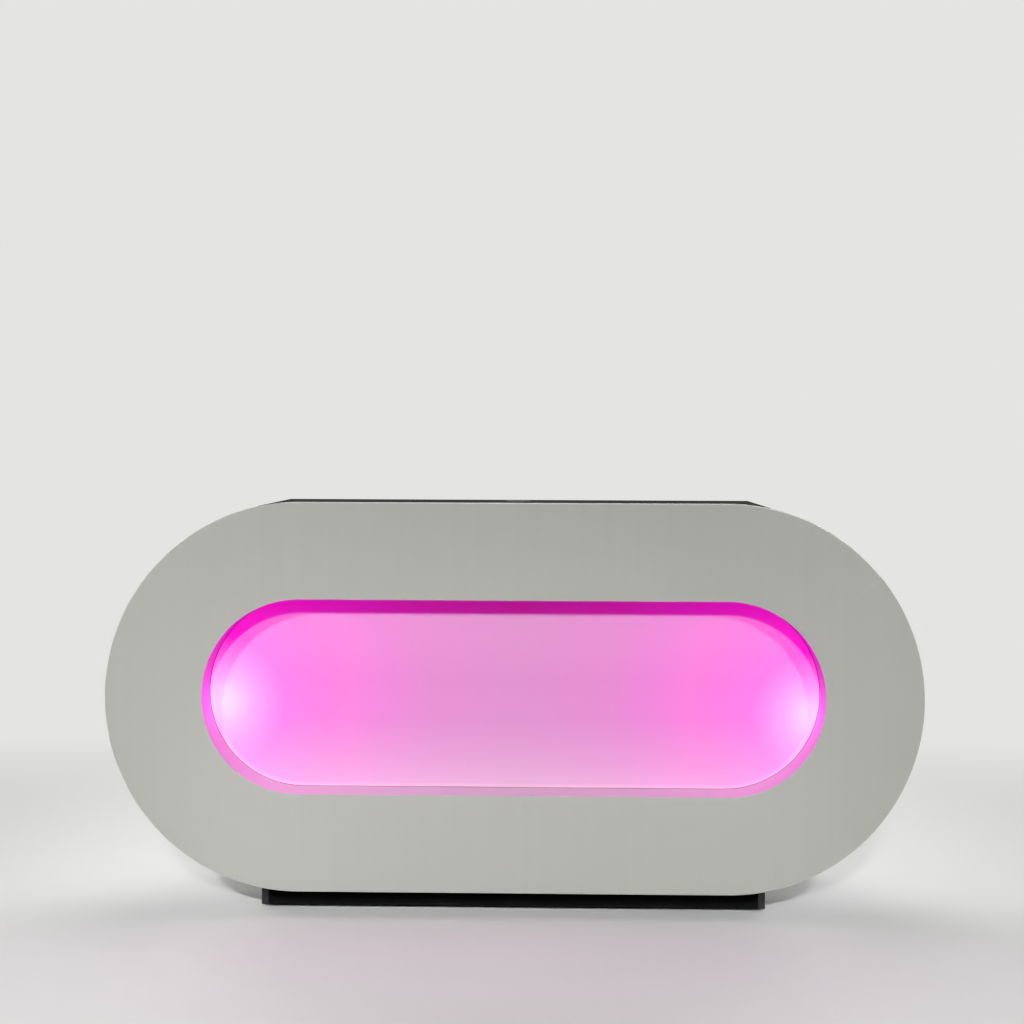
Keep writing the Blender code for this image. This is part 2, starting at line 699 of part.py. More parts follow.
def make_inlet():
    """The mains inlet with its switch pocket, through the panel, and the rocker in the pocket."""
    rim_rear = PANEL_REAR + SEAT_GAP + INLET_RIM_T
    half_w, half_h = INLET_W / 2, INLET_H / 2
    inlet = box(
        "inlet_module",
        (INLET_X - half_w, DRIVER_REAR + SEAT_GAP, DRIVER_Z - half_h),
        (INLET_X + half_w, rim_rear, DRIVER_Z + half_h),
        BLACK_PLASTIC,
    )
    rim = box(
        "inlet_rim",
        (INLET_X - half_w - INLET_RIM, PANEL_REAR + SEAT_GAP, DRIVER_Z - half_h - INLET_RIM),
        (INLET_X + half_w + INLET_RIM, rim_rear, DRIVER_Z + half_h + INLET_RIM),
    )
    join(inlet, rim)
    socket_x = INLET_X + SOCKET_OFFSET
    socket = box(
        "inlet_socket_cutter",
        (socket_x - SOCKET_W / 2, rim_rear - SOCKET_DEPTH, DRIVER_Z - SOCKET_H / 2),
        (socket_x + SOCKET_W / 2, rim_rear + SOCKET_DEPTH, DRIVER_Z + SOCKET_H / 2),
    )
    rocker_x = INLET_X + ROCKER_OFFSET
    pivot = Vector((rocker_x, rim_rear - ROCKER_SINK, DRIVER_Z))
    pocket_w = ROCKER_W / 2 + SEAT_GAP
    pocket_h = ROCKER_H / 2 + ROCKER_ROOM
    pocket_floor = pivot[1] - ROCKER_T - ROCKER_H / 2 * math.sin(ROCKER_TILT) - ROCKER_ROOM
    pocket = box(
        "rocker_pocket",
        (rocker_x - pocket_w, pocket_floor, DRIVER_Z - pocket_h),
        (rocker_x + pocket_w, rim_rear + ROCKER_H, DRIVER_Z + pocket_h),
    )
    pin_length = ROCKER_W + 2 * ROCKER_PIN_OUT
    pin_hole = cylinder(
        "rocker_pin_hole",
        ROCKER_PIN_R + SEAT_GAP,
        pin_length + 2 * SEAT_GAP,
        pivot,
        POINTING_SIDE,
    )
    cut(inlet, socket, pocket, pin_hole)
    half = ROCKER_H / 2
    loop = [(-ROCKER_T, -half), (ROCKER_PROUD, -half), (ROCKER_DIP, 0), (ROCKER_PROUD, half)]
    loop.append((-ROCKER_T, half))
    blank = flat_outline("rocker_switch", [loop], ROCKER_W, None, pivot, FACING_SIDE)
    rocker = as_mesh(blank, BLACK_PLASTIC)
    join(rocker, cylinder("rocker_pin", ROCKER_PIN_R, pin_length, pivot, POINTING_SIDE))
    axis = carry("rocker_axis", pivot, rocker)
    axis.rotation_euler = (ROCKER_TILT, 0.0, 0.0)


def make_supply():
    """The driver inside the drum, and the panel behind it with the inlet, switch and buttons."""
    box(
        "led_driver",
        (-DRIVER_W / 2, DRIVER_REAR - DRIVER_T, DRIVER_Z - DRIVER_H / 2),
        (DRIVER_W / 2, DRIVER_REAR, DRIVER_Z + DRIVER_H / 2),
        CAST_ALUMINIUM,
    )
    inlet_hole = rectangle(
        (INLET_X - INLET_W / 2 - SEAT_GAP, -INLET_H / 2 - SEAT_GAP),
        (INLET_X + INLET_W / 2 + SEAT_GAP, INLET_H / 2 + SEAT_GAP),
    )
    places = [BUTTON_FIRST_X + i * BUTTON_PITCH for i in range(len(BUTTON_NAMES))]
    button_holes = [circle(BUTTON_R + SEAT_GAP, (x, 0), ROUND_SIDES) for x in places]
    plate = rectangle((-PANEL_W / 2, -PANEL_H / 2), (PANEL_W / 2, PANEL_H / 2))
    flat_outline(
        "power_panel",
        [plate, inlet_hole, *button_holes],
        PANEL_T,
        BLACK_PLASTIC,
        (0, PANEL_FRONT + PANEL_T / 2, DRIVER_Z),
        FACING_FRONT,
    )
    make_inlet()
    rim_top = -SEAT_GAP
    stem_end = DRIVER_REAR + BUTTON_TRAVEL + SEAT_GAP - PANEL_FRONT
    profile = [
        (0, PANEL_T + BUTTON_PROUD),
        (BUTTON_R, PANEL_T + BUTTON_PROUD),
        (BUTTON_R, rim_top),
        (BUTTON_R + BUTTON_RIM, rim_top),
        (BUTTON_R + BUTTON_RIM, rim_top - BUTTON_RIM_T),
        (BUTTON_STEM_R, rim_top - BUTTON_RIM_T),
        (BUTTON_STEM_R, stem_end),
        (0, stem_end),
    ]
    for word, x in zip(BUTTON_NAMES, places):
        at = (x, PANEL_FRONT, DRIVER_Z)
        turned(f"button_{word}", profile, at, GREY_PLASTIC, POINTING_BACK)


def make_worktop():
    """The black top behind the fascia, bored for a flush cable grommet with a turning cap."""
    half = SIDE_OUTER + WORKTOP_SIDE_LIP
    worktop = box(
        "worktop",
        (-half, FASCIA_BACK + SEAT_GAP, WORKTOP_UNDER),
        (half, CABINET_REAR + WORKTOP_REAR_LIP, WORKTOP_TOP),
        BLACK_LAMINATE,
    )
    at = (0, CABINET_REAR - GROMMET_FROM_REAR, WORKTOP_TOP)
    rim_floor = -SEAT_GAP - GROMMET_RIM_T
    seat = [
        (0, WORKTOP_T),
        (GROMMET_RIM_R + SEAT_GAP, WORKTOP_T),
        (GROMMET_RIM_R + SEAT_GAP, rim_floor - SEAT_GAP),
        (GROMMET_R + SEAT_GAP, rim_floor - SEAT_GAP),
        (GROMMET_R + SEAT_GAP, -2 * WORKTOP_T),
        (0, -2 * WORKTOP_T),
    ]
    cut(worktop, turned("grommet_seat", seat, at))
    cap_r = GROMMET_R - GROMMET_WALL
    ledge_top = -SEAT_GAP - CAP_T - SEAT_GAP
    ring = [
        (GROMMET_RIM_R, -SEAT_GAP),
        (GROMMET_RIM_R, rim_floor),
        (GROMMET_R, rim_floor),
        (GROMMET_R, -WORKTOP_T),
        (cap_r - GROMMET_LEDGE, -WORKTOP_T),
        (cap_r - GROMMET_LEDGE, ledge_top),
        (cap_r, ledge_top),
        (cap_r, -SEAT_GAP),
    ]
    turned("grommet_ring", ring, at, BLACK_PLASTIC, closed=True)
    edge = cap_r - SEAT_GAP
    reach = math.degrees(math.asin(CAP_SLOT_W / 2 / edge))
    loop = arc((0, 0), edge, 90 + reach, 450 - reach, ROUND_SIDES)
    floor = edge - CAP_SLOT_DEPTH + CAP_SLOT_W / 2
    loop += arc((0, floor), CAP_SLOT_W / 2, 0, -180, SMALL_SIDES // 2)
    cap_at = (at[0], at[1], WORKTOP_TOP - SEAT_GAP - CAP_T / 2)
    flat_outline("grommet_cap", [loop], CAP_T, BLACK_PLASTIC, cap_at)


def make_cabinet():
    """The black desk: sides with toes under the drum, base, plinth boards and a shelf on cleats."""
    side_top = WORKTOP_UNDER - SEAT_GAP
    loop = [
        (TOE_FRONT, SKIRT_CLEAR),
        (CABINET_REAR, SKIRT_CLEAR),
        (CABINET_REAR, side_top),
        (CABINET_FRONT, side_top),
        (CABINET_FRONT, BASE_TOP),
        (TOE_FRONT, BASE_TOP),
    ]
    for side, sign in SIDES:
        at = (sign * (SIDE_OUTER - BOARD_T / 2), 0, 0)
        flat_outline(f"side_panel_{side}", [loop], BOARD_T, BLACK_LAMINATE, at, FACING_SIDE)
    inner = SIDE_INNER - SEAT_GAP
    skirts = (("plinth_front", TOE_FRONT), ("plinth_rear", CABINET_REAR - BOARD_T))
    for name, front in skirts:
        box(
            name,
            (-inner, front, SKIRT_CLEAR),
            (inner, front + BOARD_T, BASE_TOP),
            BLACK_LAMINATE,
        )
    box(
        "base_board",
        (-inner, TOE_FRONT + BOARD_T + SEAT_GAP, BASE_UNDER),
        (inner, CABINET_REAR - BOARD_T - SEAT_GAP, BASE_TOP),
        BLACK_LAMINATE,
    )
    shelf_rear = CABINET_REAR - SHELF_REAR_INSET
    shelf_under = SHELF_TOP - BOARD_T
    box(
        "shelf",
        (-inner, CABINET_FRONT, shelf_under),
        (inner, shelf_rear, SHELF_TOP),
        BLACK_LAMINATE,
    )
    for side, sign in SIDES:
        xs = sorted((sign * inner, sign * (inner - CLEAT)))
        box(
            f"shelf_cleat_{side}",
            (xs[0], CABINET_FRONT + CLEAT, shelf_under - SEAT_GAP - CLEAT),
            (xs[1], shelf_rear - CLEAT, shelf_under - SEAT_GAP),
            BLACK_LAMINATE,
        )


def make_legs():
    """Four levelling legs: a socket under the base board and a screwed foot, wound right in."""
    socket_top = BASE_UNDER - SEAT_GAP
    socket_low = PAD_T + SEAT_GAP
    stem_top = PAD_T + STEM_LENGTH
    bore_r = STEM_R + SEAT_GAP
    socket = [
        (0, socket_top),
        (SOCKET_PLATE_R, socket_top),
        (SOCKET_PLATE_R, socket_top - SOCKET_PLATE_T),
        (SOCKET_R, socket_top - SOCKET_PLATE_T),
        (SOCKET_R, socket_low),
        (bore_r, socket_low),
        (bore_r, stem_top + SEAT_GAP),
        (0, stem_top + SEAT_GAP),
    ]
    foot = [(0, stem_top), (STEM_R, stem_top), (STEM_R, PAD_T), (PAD_R, PAD_T), (PAD_R, 0), (0, 0)]
    rows = (
        ("front", TOE_FRONT + BOARD_T + LEG_INSET),
        ("rear", CABINET_REAR - BOARD_T - LEG_INSET),
    )
    for row, y in rows:
        for side, sign in SIDES:
            at = (sign * (SIDE_INNER - LEG_INSET), y, 0)
            turned(f"leg_socket_{row}_{side}", socket, at, BLACK_PLASTIC)
            turned(f"leg_foot_{row}_{side}", foot, at, BLACK_PLASTIC)


def main():
    make_facade()
    make_bands()
    make_ribs()
    make_drum_back()
    make_hatches()
    make_lamps()
    make_cables()
    make_supply()
    make_worktop()
    make_cabinet()
    make_legs()


main()
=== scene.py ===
"""Looks of the pill-fronted DJ booth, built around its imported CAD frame.

Metres, +Z up, with the front facing -Y. Each sub-assembly is a class, which takes its places from the
frame, models the finer pieces with bmesh operators, and says which finish each of them has.

A field that ends in _ease is how far those edges are rounded, one that ends in _steps is how many
faces go round, and one that ends in _half is half of a size.
"""

import json
import logging
import math
from collections.abc import Callable, Iterable, Sequence
from dataclasses import dataclass
from enum import Enum
from typing import Any

import bmesh
import bpy
from bmesh.types import BMEdge, BMesh, BMFace, BMVert
from bpy.types import Material, Node, NodeSocket, NodeTree, Object
from mathutils import Matrix, Vector

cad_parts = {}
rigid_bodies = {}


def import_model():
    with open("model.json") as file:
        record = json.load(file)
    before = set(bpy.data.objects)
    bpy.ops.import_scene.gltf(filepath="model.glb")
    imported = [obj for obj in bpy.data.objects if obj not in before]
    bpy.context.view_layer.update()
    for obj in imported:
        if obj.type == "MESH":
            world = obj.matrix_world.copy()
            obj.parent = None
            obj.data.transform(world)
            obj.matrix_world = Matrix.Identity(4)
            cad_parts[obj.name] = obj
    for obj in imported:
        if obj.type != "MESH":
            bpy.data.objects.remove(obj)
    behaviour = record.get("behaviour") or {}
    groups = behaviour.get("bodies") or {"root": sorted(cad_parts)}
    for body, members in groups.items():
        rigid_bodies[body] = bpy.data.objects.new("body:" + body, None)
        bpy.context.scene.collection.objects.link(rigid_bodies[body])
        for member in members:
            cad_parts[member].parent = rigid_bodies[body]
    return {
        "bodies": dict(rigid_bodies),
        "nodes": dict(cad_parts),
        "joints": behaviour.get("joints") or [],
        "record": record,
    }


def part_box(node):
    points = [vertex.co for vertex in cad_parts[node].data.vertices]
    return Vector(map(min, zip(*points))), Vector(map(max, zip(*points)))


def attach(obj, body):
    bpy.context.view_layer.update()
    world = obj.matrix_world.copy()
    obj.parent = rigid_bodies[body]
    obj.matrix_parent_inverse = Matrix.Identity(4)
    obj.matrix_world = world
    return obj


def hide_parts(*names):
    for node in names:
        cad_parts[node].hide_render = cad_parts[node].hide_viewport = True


LOG = logging.getLogger("dj_booth")
MM = 0.001
BOOTH = "booth"
UP = Vector((0.0, 0.0, 1.0))
REARWARDS = Vector((0.0, 1.0, 0.0))
# The radius of the recess's round ends, and the middle of the right one, along X and Z.
OPENING = 0.250
OPENING_END = (0.55, 0.56)
# The thickness of the drum's bent rim.
RIM = 9.0 * MM
# An edge that turns by more than SHARP is rounded, and one that turns by more than CREASE shows.
SHARP = math.radians(40.0)
CREASE = math.radians(35.0)
# A face looks along an axis when this much of its normal lies that way.
FACING = 0.9
# Points nearer to each other than this are one point.
WELD = 1e-6

# What makes a Mix node mix colours.
IN_COLOUR: dict[str, Any] = {"out": 2, "data_type": "RGBA"}

Rgba = tuple[float, float, float, float]
Profile = Sequence[tuple[float, float]]
Ramp = Sequence[tuple[float, str]]


class Side(Enum):
    """The two ends of the booth, with the sign that each has along X."""

    LEFT = -1
    RIGHT = 1

    @property
    def word(self) -> str:
        """The side as the frame's node names spell it."""
        return self.name.lower()


class Row(Enum):
    """The two rows of levelling legs."""

    FRONT = "front"
    REAR = "rear"


class Axis(Enum):
    """The frame's axes, as places in a vector."""

    X = 0
    Y = 1
    Z = 2


def linear(hex_colour: str) -> Rgba:
    """Turns an sRGB hex colour into linear light.

    Args:
        hex_colour: six hex digits after a hash sign.

    Returns:
        Red, green, blue and an alpha of 1.
    """
    shares = [int(hex_colour[i : i + 2], 16) / 255 for i in (1, 3, 5)]
    red, green, blue = (s / 12.92 if s <= 0.04045 else ((s + 0.055) / 1.055) ** 2.4 for s in shares)
    return (red, green, blue, 1.0)


def per_metre(size_mm: float) -> float:
    """The texture scale at which one feature is this many millimetres across."""
    return 1.0 / (size_mm * MM)


def fill(tree: NodeTree, node: Node, inputs: dict[Any, Any]) -> None:
    """Sets a node's inputs.

    Args:
        tree: the nodes that it is one of.
        node: the node.
        inputs: what each input holds: a plain value, or the output that is linked to it.
    """
    for key, value in inputs.items():
        if isinstance(value, NodeSocket):
            tree.links.new(value, node.inputs[key])
        else:
            node.inputs[key].default_value = value


def add_node(
    tree: NodeTree, kind: str, inputs: dict[Any, Any] | None = None, out: int | str = 0, **settings: Any
) -> NodeSocket:
    """Adds a node with its settings and links.

    Args:
        tree: the material's or the world's nodes.
        kind: the shader node's type.
        inputs: what its inputs hold, by their names or numbers.
        out: the output that is wanted.
        **settings: the node's own properties, where stops are a colour ramp's places and colours,
            from 0 to 1.

    Returns:
        The wanted output.
    """
    node = tree.nodes.new(f"ShaderNode{kind}")
    for i, (place, colour) in enumerate(settings.pop("stops", ())):
        row = node.color_ramp.elements
        stop = row[0] if i == 0 else row[-1] if place == 1.0 else row.new(place)
        stop.position, stop.color = place, colour
    for name, value in settings.items():
        setattr(node, name, value)
    fill(tree, node, inputs or {})
    return node.outputs[out]


@dataclass(frozen=True)
class Chips:
    """Small knocks along an edge, which go through its coat to the board below.

    Attributes:
        board: the board's colour.
        size_mm: the size of a knock.
        share: the level that the pattern has to pass, from 0 to 1: the higher, the fewer knocks.
        fade: how much further it goes before the coat is quite gone.
        detail: how many finer layers the pattern has.
        ragged: how much these count.
    """

    board: str
    size_mm: float
    share: float
    fade: float
    detail: float
    ragged: float

    def through(self, tree: NodeTree, place: NodeSocket, coat: NodeSocket) -> NodeSocket:
        """Knocks the chips into a coat.

        Args:
            tree: its nodes.
            place: the Object coordinates.
            coat: the coat's colour.

        Returns:
            The colour with the chips in it.
        """
        knocks = add_node(
            tree,
            "TexNoise",
            {
                "Vector": place,
                "Scale": per_metre(self.size_mm),
                "Detail": self.detail,
                "Roughness": self.ragged,
            },
        )
        chipped = add_node(
            tree,
            "MapRange",
            {"Value": knocks, "From Min": self.share, "From Max": self.share + self.fade},
        )
        return add_node(tree, "Mix", {0: chipped, 6: coat, 7: linear(self.board)}, **IN_COLOUR)


@dataclass(frozen=True)
class Finish:
    """A surface finish, which makes its material the first time that it is asked for.

    In the finishes below, a field that ends in _mm is the size of one feature of a pattern, _run_mm
    is its length where it is drawn out, and _depth_mm its depth.

    Attributes:
        name: what the real surface is and how it was made.
        slot: the record's material slot that it belongs to; not used.
        colour: its main colour.
        roughness: its mean roughness.
        chips: the knocks in it, where it goes round an edge.
    """

    name: str
    slot: str
    colour: str
    roughness: float
    chips: Chips | None = None

    def material(self) -> Material:
        """Makes the material, or finds it where it is made already.

        Returns:
            The finish's material.
        """
        made = bpy.data.materials.get(self.name)
        if made is None:
            made = bpy.data.materials.new(self.name)
            made.use_nodes = True
            tree = made.node_tree
            shader = tree.nodes["Principled BSDF"]
            fill(tree, shader, {"Base Color": linear(self.colour), "Roughness": self.roughness})
            place = add_node(tree, "TexCoord", out="Object")
            dressed = self.dress(tree, place)
            if self.chips:
                dressed["Base Color"] = self.chips.through(tree, place, dressed["Base Color"])
            fill(tree, shader, dressed)
        return made

    def dress(self, tree: NodeTree, place: NodeSocket) -> dict[str, Any]:
        """Makes the surface's own pattern.

        Args:
            tree: its nodes.
            place: the Object coordinates.

        Returns:
            What the shader's inputs hold: plain values, or the outputs that are linked to them.
        """
        raise NotImplementedError

    def coat(
        self,
        tree: NodeTree,
        share: NodeSocket,
        second: str,
        sheen: NodeSocket,
        swing: tuple[float, float],
        relief: NodeSocket,
        depth_mm: float,
        strength: float = 0.4,
    ) -> dict[str, Any]:
        """Makes a coat of two colours with an uneven sheen and a fine relief.

        Args:
            tree: its nodes.
            share: how much of the second colour shows.
            second: that colour.
            sheen: what the roughness runs with.
            swing: how far the roughness lies off its mean where that is 0, and where it is 1.
            relief: what the surface's height runs with.
            depth_mm: how deep the relief is.
            strength: how strongly it shows.

        Returns:
            The shader's inputs.
        """
        colour = add_node(
            tree, "Mix", {0: share, 6: linear(self.colour), 7: linear(second)}, **IN_COLOUR
        )
        low, high = (self.roughness + away for away in swing)
        rough = add_node(tree, "MapRange", {"Value": sheen, "To Min": low, "To Max": high})
        bump = add_node(
            tree, "Bump", {"Height": relief, "Strength": strength, "Distance": depth_mm * MM}
        )
        return {"Base Color": colour, "Roughness": rough, "Normal": bump}


@dataclass(frozen=True)
class SatinLacquer(Finish):
    """Satin lacquer sprayed on fibreboard: even and soft, with orange peel and faint wiped streaks.

    Attributes:
        wiped: the colour where it has been wiped most.
        streak_run_mm: its length, up and down.
        cloud_mm: the size of the slow clouds of sheen.
    """

    wiped: str = "#B3B3AD"
    streak_mm: float = 26.0
    streak_run_mm: float = 1400.0
    cloud_mm: float = 420.0
    peel_mm: float = 5.0
    peel_depth_mm: float = 0.03

    def dress(self, tree: NodeTree, place: NodeSocket) -> dict[str, Any]:
        """Makes the streaks, the clouds of sheen and the peel.

        Args:
            tree: its nodes.
            place: the Object coordinates.

        Returns:
            The shader's inputs.
        """
        drawn_out = add_node(
            tree, "Mapping", {"Vector": place, "Scale": (1.0, 1.0, self.streak_mm / self.streak_run_mm)}
        )
        streaks = add_node(
            tree, "TexNoise", {"Vector": drawn_out, "Scale": per_metre(self.streak_mm), "Detail": 3.0}
        )
        clouds = add_node(
            tree, "TexNoise", {"Vector": place, "Scale": per_metre(self.cloud_mm), "Detail": 2.0}
        )
        both = add_node(tree, "Math", {0: streaks, 1: clouds}, operation="MULTIPLY")
        wiped = add_node(tree, "MapRange", {"Value": both, "From Min": 0.15, "From Max": 0.38})
        peel = add_node(
            tree, "TexNoise", {"Vector": place, "Scale": per_metre(self.peel_mm), "Detail": 1.0}
        )
        swing = (-0.04, 0.06)
        return self.coat(tree, wiped, self.wiped, clouds, swing, peel, self.peel_depth_mm)


@dataclass(frozen=True)
class LampGlow:
    """How the light of the two colour lamps runs over the front, by distance from the nearer one.

    Attributes:
        left_lamp: the middle of the left glow, along X and Z.
        right_lamp: the middle of the right glow, which sits a little lower.
        right_dim: how much further off the right lamp seems, since its glow is the dimmer one.
        reach: how far from a lamp the glow has fallen to its lowest.
        blend: how softly the two glows run into each other.
    """

    left_lamp: tuple[float, float] = (-0.770, 0.530)
    right_lamp: tuple[float, float] = (0.783, 0.503)
    right_dim: float = 0.008
    reach: float = 0.80
    blend: float = 0.12

    def coloured(self, tree: NodeTree, place: NodeSocket, colours: Ramp) -> NodeSocket:
        """A colour that runs with the distance from the lamps.

        Args:
            tree: its nodes.
            place: the Object coordinates.
            colours: the colours by their distance in metres, from the lamp outwards to the reach.

        Returns:
            The colour.
        """
        flat = add_node(tree, "VectorMath", {0: place, 1: (1.0, 0.0, 1.0)}, operation="MULTIPLY")
        left, right = (
            add_node(
                tree, "VectorMath", {0: flat, 1: (x, 0.0, z)}, out="Value", operation="DISTANCE"
            )
            for x, z in (self.left_lamp, self.right_lamp)
        )
        dimmed = add_node(tree, "Math", {0: right, 1: self.right_dim}, operation="ADD")
        nearest = add_node(
            tree, "Math", {0: left, 1: dimmed, 2: self.blend}, operation="SMOOTH_MIN"
        )
        share = add_node(tree, "MapRange", {"Value": nearest, "From Max": self.reach})
        stops = [(distance / self.reach, linear(colour)) for distance, colour in colours]
        return add_node(tree, "ValToRGB", {"Fac": share}, stops=stops)


LAMPS = LampGlow()


@dataclass(frozen=True)
class LitOpal(Finish):
    """Cast opal acrylic with a colour lamp behind each end, so that it glows and fades to the middle.

    The glow is strongest where a lamp is nearest the sheet, and washes out to near white there.

    Attributes:
        strength: how many times its written colour the glow's light is.
        gloss: the specular level, low because dust dulls the sheet.
        ior: acrylic's index of refraction.
        haze_mm: the size of the casting haze's clouds.
        glow: how the glow's colour runs, by distance from a lamp in metres.
        tint: how the sheet's base colour runs by distance from a lamp, pinker near them: painted pink
            lamp light.
        dust: the colour of a pale layer on the sheet, partly dust and partly painted highlight.
        film: how much of the sheet that layer covers, by height: painted highlight thickest low down,
            where light off the lower wall falls, and just below the shadow at the top, falling to none
            inside that shadow.
        evenness: how much of the glow is left, by height.
        edge_width: how far in from the sheet's seen edge a painted highlight runs along the lower wall.
        edge_full: the share of that width, next to the edge, where it is strongest.
        edge_share: how much of the sheet it covers there.
        edge_fade: how far below the middle it takes to get that strong; above there is none.
    """

    strength: float = 6.0
    gloss: float = 0.04
    ior: float = 1.49
    haze_mm: float = 90.0
    glow: Ramp = (
        (0.000, "#DA52BC"), (0.036, "#B04C91"), (0.060, "#994177"), (0.085, "#873565"),
        (0.120, "#78235C"), (0.170, "#6E0056"), (0.285, "#64004F"), (0.370, "#5D004B"),
        (0.450, "#580047"), (0.570, "#52003F"), (0.800, "#4C0038"),
    )
    tint: Ramp = (
        (0.000, "#988A9A"), (0.300, "#98899B"), (0.570, "#9994A6"), (0.800, "#9C99AB"),
    )
    dust: str = "#C6C5C2"
    film: Profile = (
        (0.300, 0.40), (0.490, 0.00), (0.590, 0.00), (0.690, 0.13), (0.762, 0.18),
        (0.785, 0.00), (0.810, 0.00),
    )
    evenness: Profile = (
        (0.300, 0.7605), (0.520, 1.0000), (0.710, 1.0000), (0.810, 0.8879),
    )
    edge_width: float = 0.018
    edge_full: float = 0.3
    edge_share: float = 0.62
    edge_fade: float = 0.12

    def dress(self, tree: NodeTree, place: NodeSocket) -> dict[str, Any]:
        """Makes the glow of the two lamps, a pale layer of dust and painted highlight, the painted pink
        base colour and a faint casting haze.

        Args:
            tree: its nodes.
            place: the Object coordinates.

        Returns:
            The shader's inputs.
        """
        height = add_node(tree, "SeparateXYZ", {0: place}, out="Z")
        left_of_it = self.by_height(tree, height, self.evenness)
        light = add_node(
            tree,
            "Mix",
            {0: 1.0, 6: LAMPS.coloured(tree, place, self.glow), 7: left_of_it},
            blend_type="MULTIPLY",
            **IN_COLOUR,
        )
        # A pale layer, partly dust and partly painted highlight: low down where light off the lower
        # wall falls, just below the top shadow's edge and along the lower rim; none inside that shadow.
        film = self.by_height(tree, height, self.film)
        rim = self.dusty_rim(tree, place, height)
        dust_and_painted_highlight = add_node(tree, "Math", {0: film, 1: rim}, operation="MAXIMUM")
        colour = add_node(
            tree,
            "Mix",
            {0: dust_and_painted_highlight, 6: LAMPS.coloured(tree, place, self.tint), 7: linear(self.dust)},
            **IN_COLOUR,
        )
        haze = add_node(
            tree, "TexNoise", {"Vector": place, "Scale": per_metre(self.haze_mm), "Detail": 2.0}
        )
        sheen = add_node(
            tree,
            "MapRange",
            {"Value": haze, "To Min": self.roughness - 0.05, "To Max": self.roughness + 0.05},
        )
        return {
            "Base Color": colour,
            "Roughness": sheen,
            "Emission Color": light,
            "Emission Strength": self.strength,
            "Specular IOR Level": self.gloss,
            "IOR": self.ior,
        }

    def by_height(self, tree: NodeTree, height: NodeSocket, shares: Profile) -> NodeSocket:
        """A share that runs with the height.

        Args:
            tree: its nodes.
            height: the height, in metres.
            shares: the heights from the sheet's foot to its top, with the share at each.

        Returns:
            The share, as a grey.
        """
        foot, top = shares[0][0], shares[-1][0]
        rise = add_node(tree, "MapRange", {"Value": height, "From Min": foot, "From Max": top})
        stops = [((z - foot) / (top - foot), (share, share, share, 1.0)) for z, share in shares]
        return add_node(tree, "ValToRGB", {"Fac": rise}, stops=stops)

    def dusty_rim(self, tree: NodeTree, place: NodeSocket, height: NodeSocket) -> NodeSocket:
        """How much painted highlight lies along the sheet's lower edge, where it meets the wall.

        Args:
            tree: its nodes.
            place: the Object coordinates.
            height: their height.

        Returns:
            The share of the sheet that it covers.
        """
        folded = add_node(tree, "VectorMath", {0: place}, operation="ABSOLUTE")
        x, z = OPENING_END
        aside = add_node(tree, "VectorMath", {0: folded, 1: (x, 0.0, z)}, operation="SUBTRACT")
        past = add_node(tree, "VectorMath", {0: aside, 1: (0.0, 0.0, -1.0)}, operation="MAXIMUM")
        flat = add_node(tree, "VectorMath", {0: past, 1: (1.0, 0.0, 1.0)}, operation="MULTIPLY")
        reach = add_node(tree, "VectorMath", {0: flat}, out="Value", operation="LENGTH")
        near = add_node(
            tree,
            "MapRange",
            {
                "Value": reach,
                "From Min": OPENING - self.edge_width,
                "From Max": OPENING - self.edge_full * self.edge_width,
                "To Max": self.edge_share,
            },
            interpolation_type="SMOOTHSTEP",
        )
        low = add_node(
            tree, "MapRange", {"Value": height, "From Min": z, "From Max": z - self.edge_fade}
        )
        return add_node(tree, "Math", {0: near, 1: low}, operation="MULTIPLY")


@dataclass(frozen=True)
class LitLacquer(SatinLacquer):
    """The lacquered wall of the recess, with the sheet's pink light painted on it all round.

    Attributes:
        stain: the wall's colour high up: painted pink lamp light in its base colour.
        stain_from: how high the painted pink starts.
        stain_to: how high it is full.
        gloss: the specular level; the wall is flatted, so that it mirrors little of the sheet.
        leak: how the wall's painted glow runs, by distance from a lamp in metres: emission standing for
            the sheet's light on it.
    """

    stain: str = "#C80CBE"
    stain_from: float = 0.46
    stain_to: float = 0.64
    gloss: float = 0.12
    leak: Ramp = (
        (0.00, "#950099"), (0.18, "#900084"), (0.35, "#7C0069"), (0.55, "#6C005D"),
        (0.80, "#690059"),
    )

    def dress(self, tree: NodeTree, place: NodeSocket) -> dict[str, Any]:
        """Makes the lacquer's own pattern, the painted pink base colour and the painted glow.

        Args:
            tree: its nodes.
            place: the Object coordinates.

        Returns:
            The shader's inputs.
        """
        lit = super().dress(tree, place)
        height = add_node(tree, "SeparateXYZ", {0: place}, out="Z")
        # Painted pink lamp light in the base colour, growing to full high up.
        painted_pink_share = add_node(
            tree,
            "MapRange",
            {"Value": height, "From Min": self.stain_from, "From Max": self.stain_to},
            interpolation_type="SMOOTHSTEP",
        )
        lit["Base Color"] = add_node(
            tree, "Mix", {0: painted_pink_share, 6: lit["Base Color"], 7: linear(self.stain)}, **IN_COLOUR
        )
        # A painted glow: emission on the wall, standing for the sheet's pink light falling on it.
        lit["Emission Color"] = LAMPS.coloured(tree, place, self.leak)
        lit["Emission Strength"] = 1.0
        lit["Specular IOR Level"] = self.gloss
        return lit


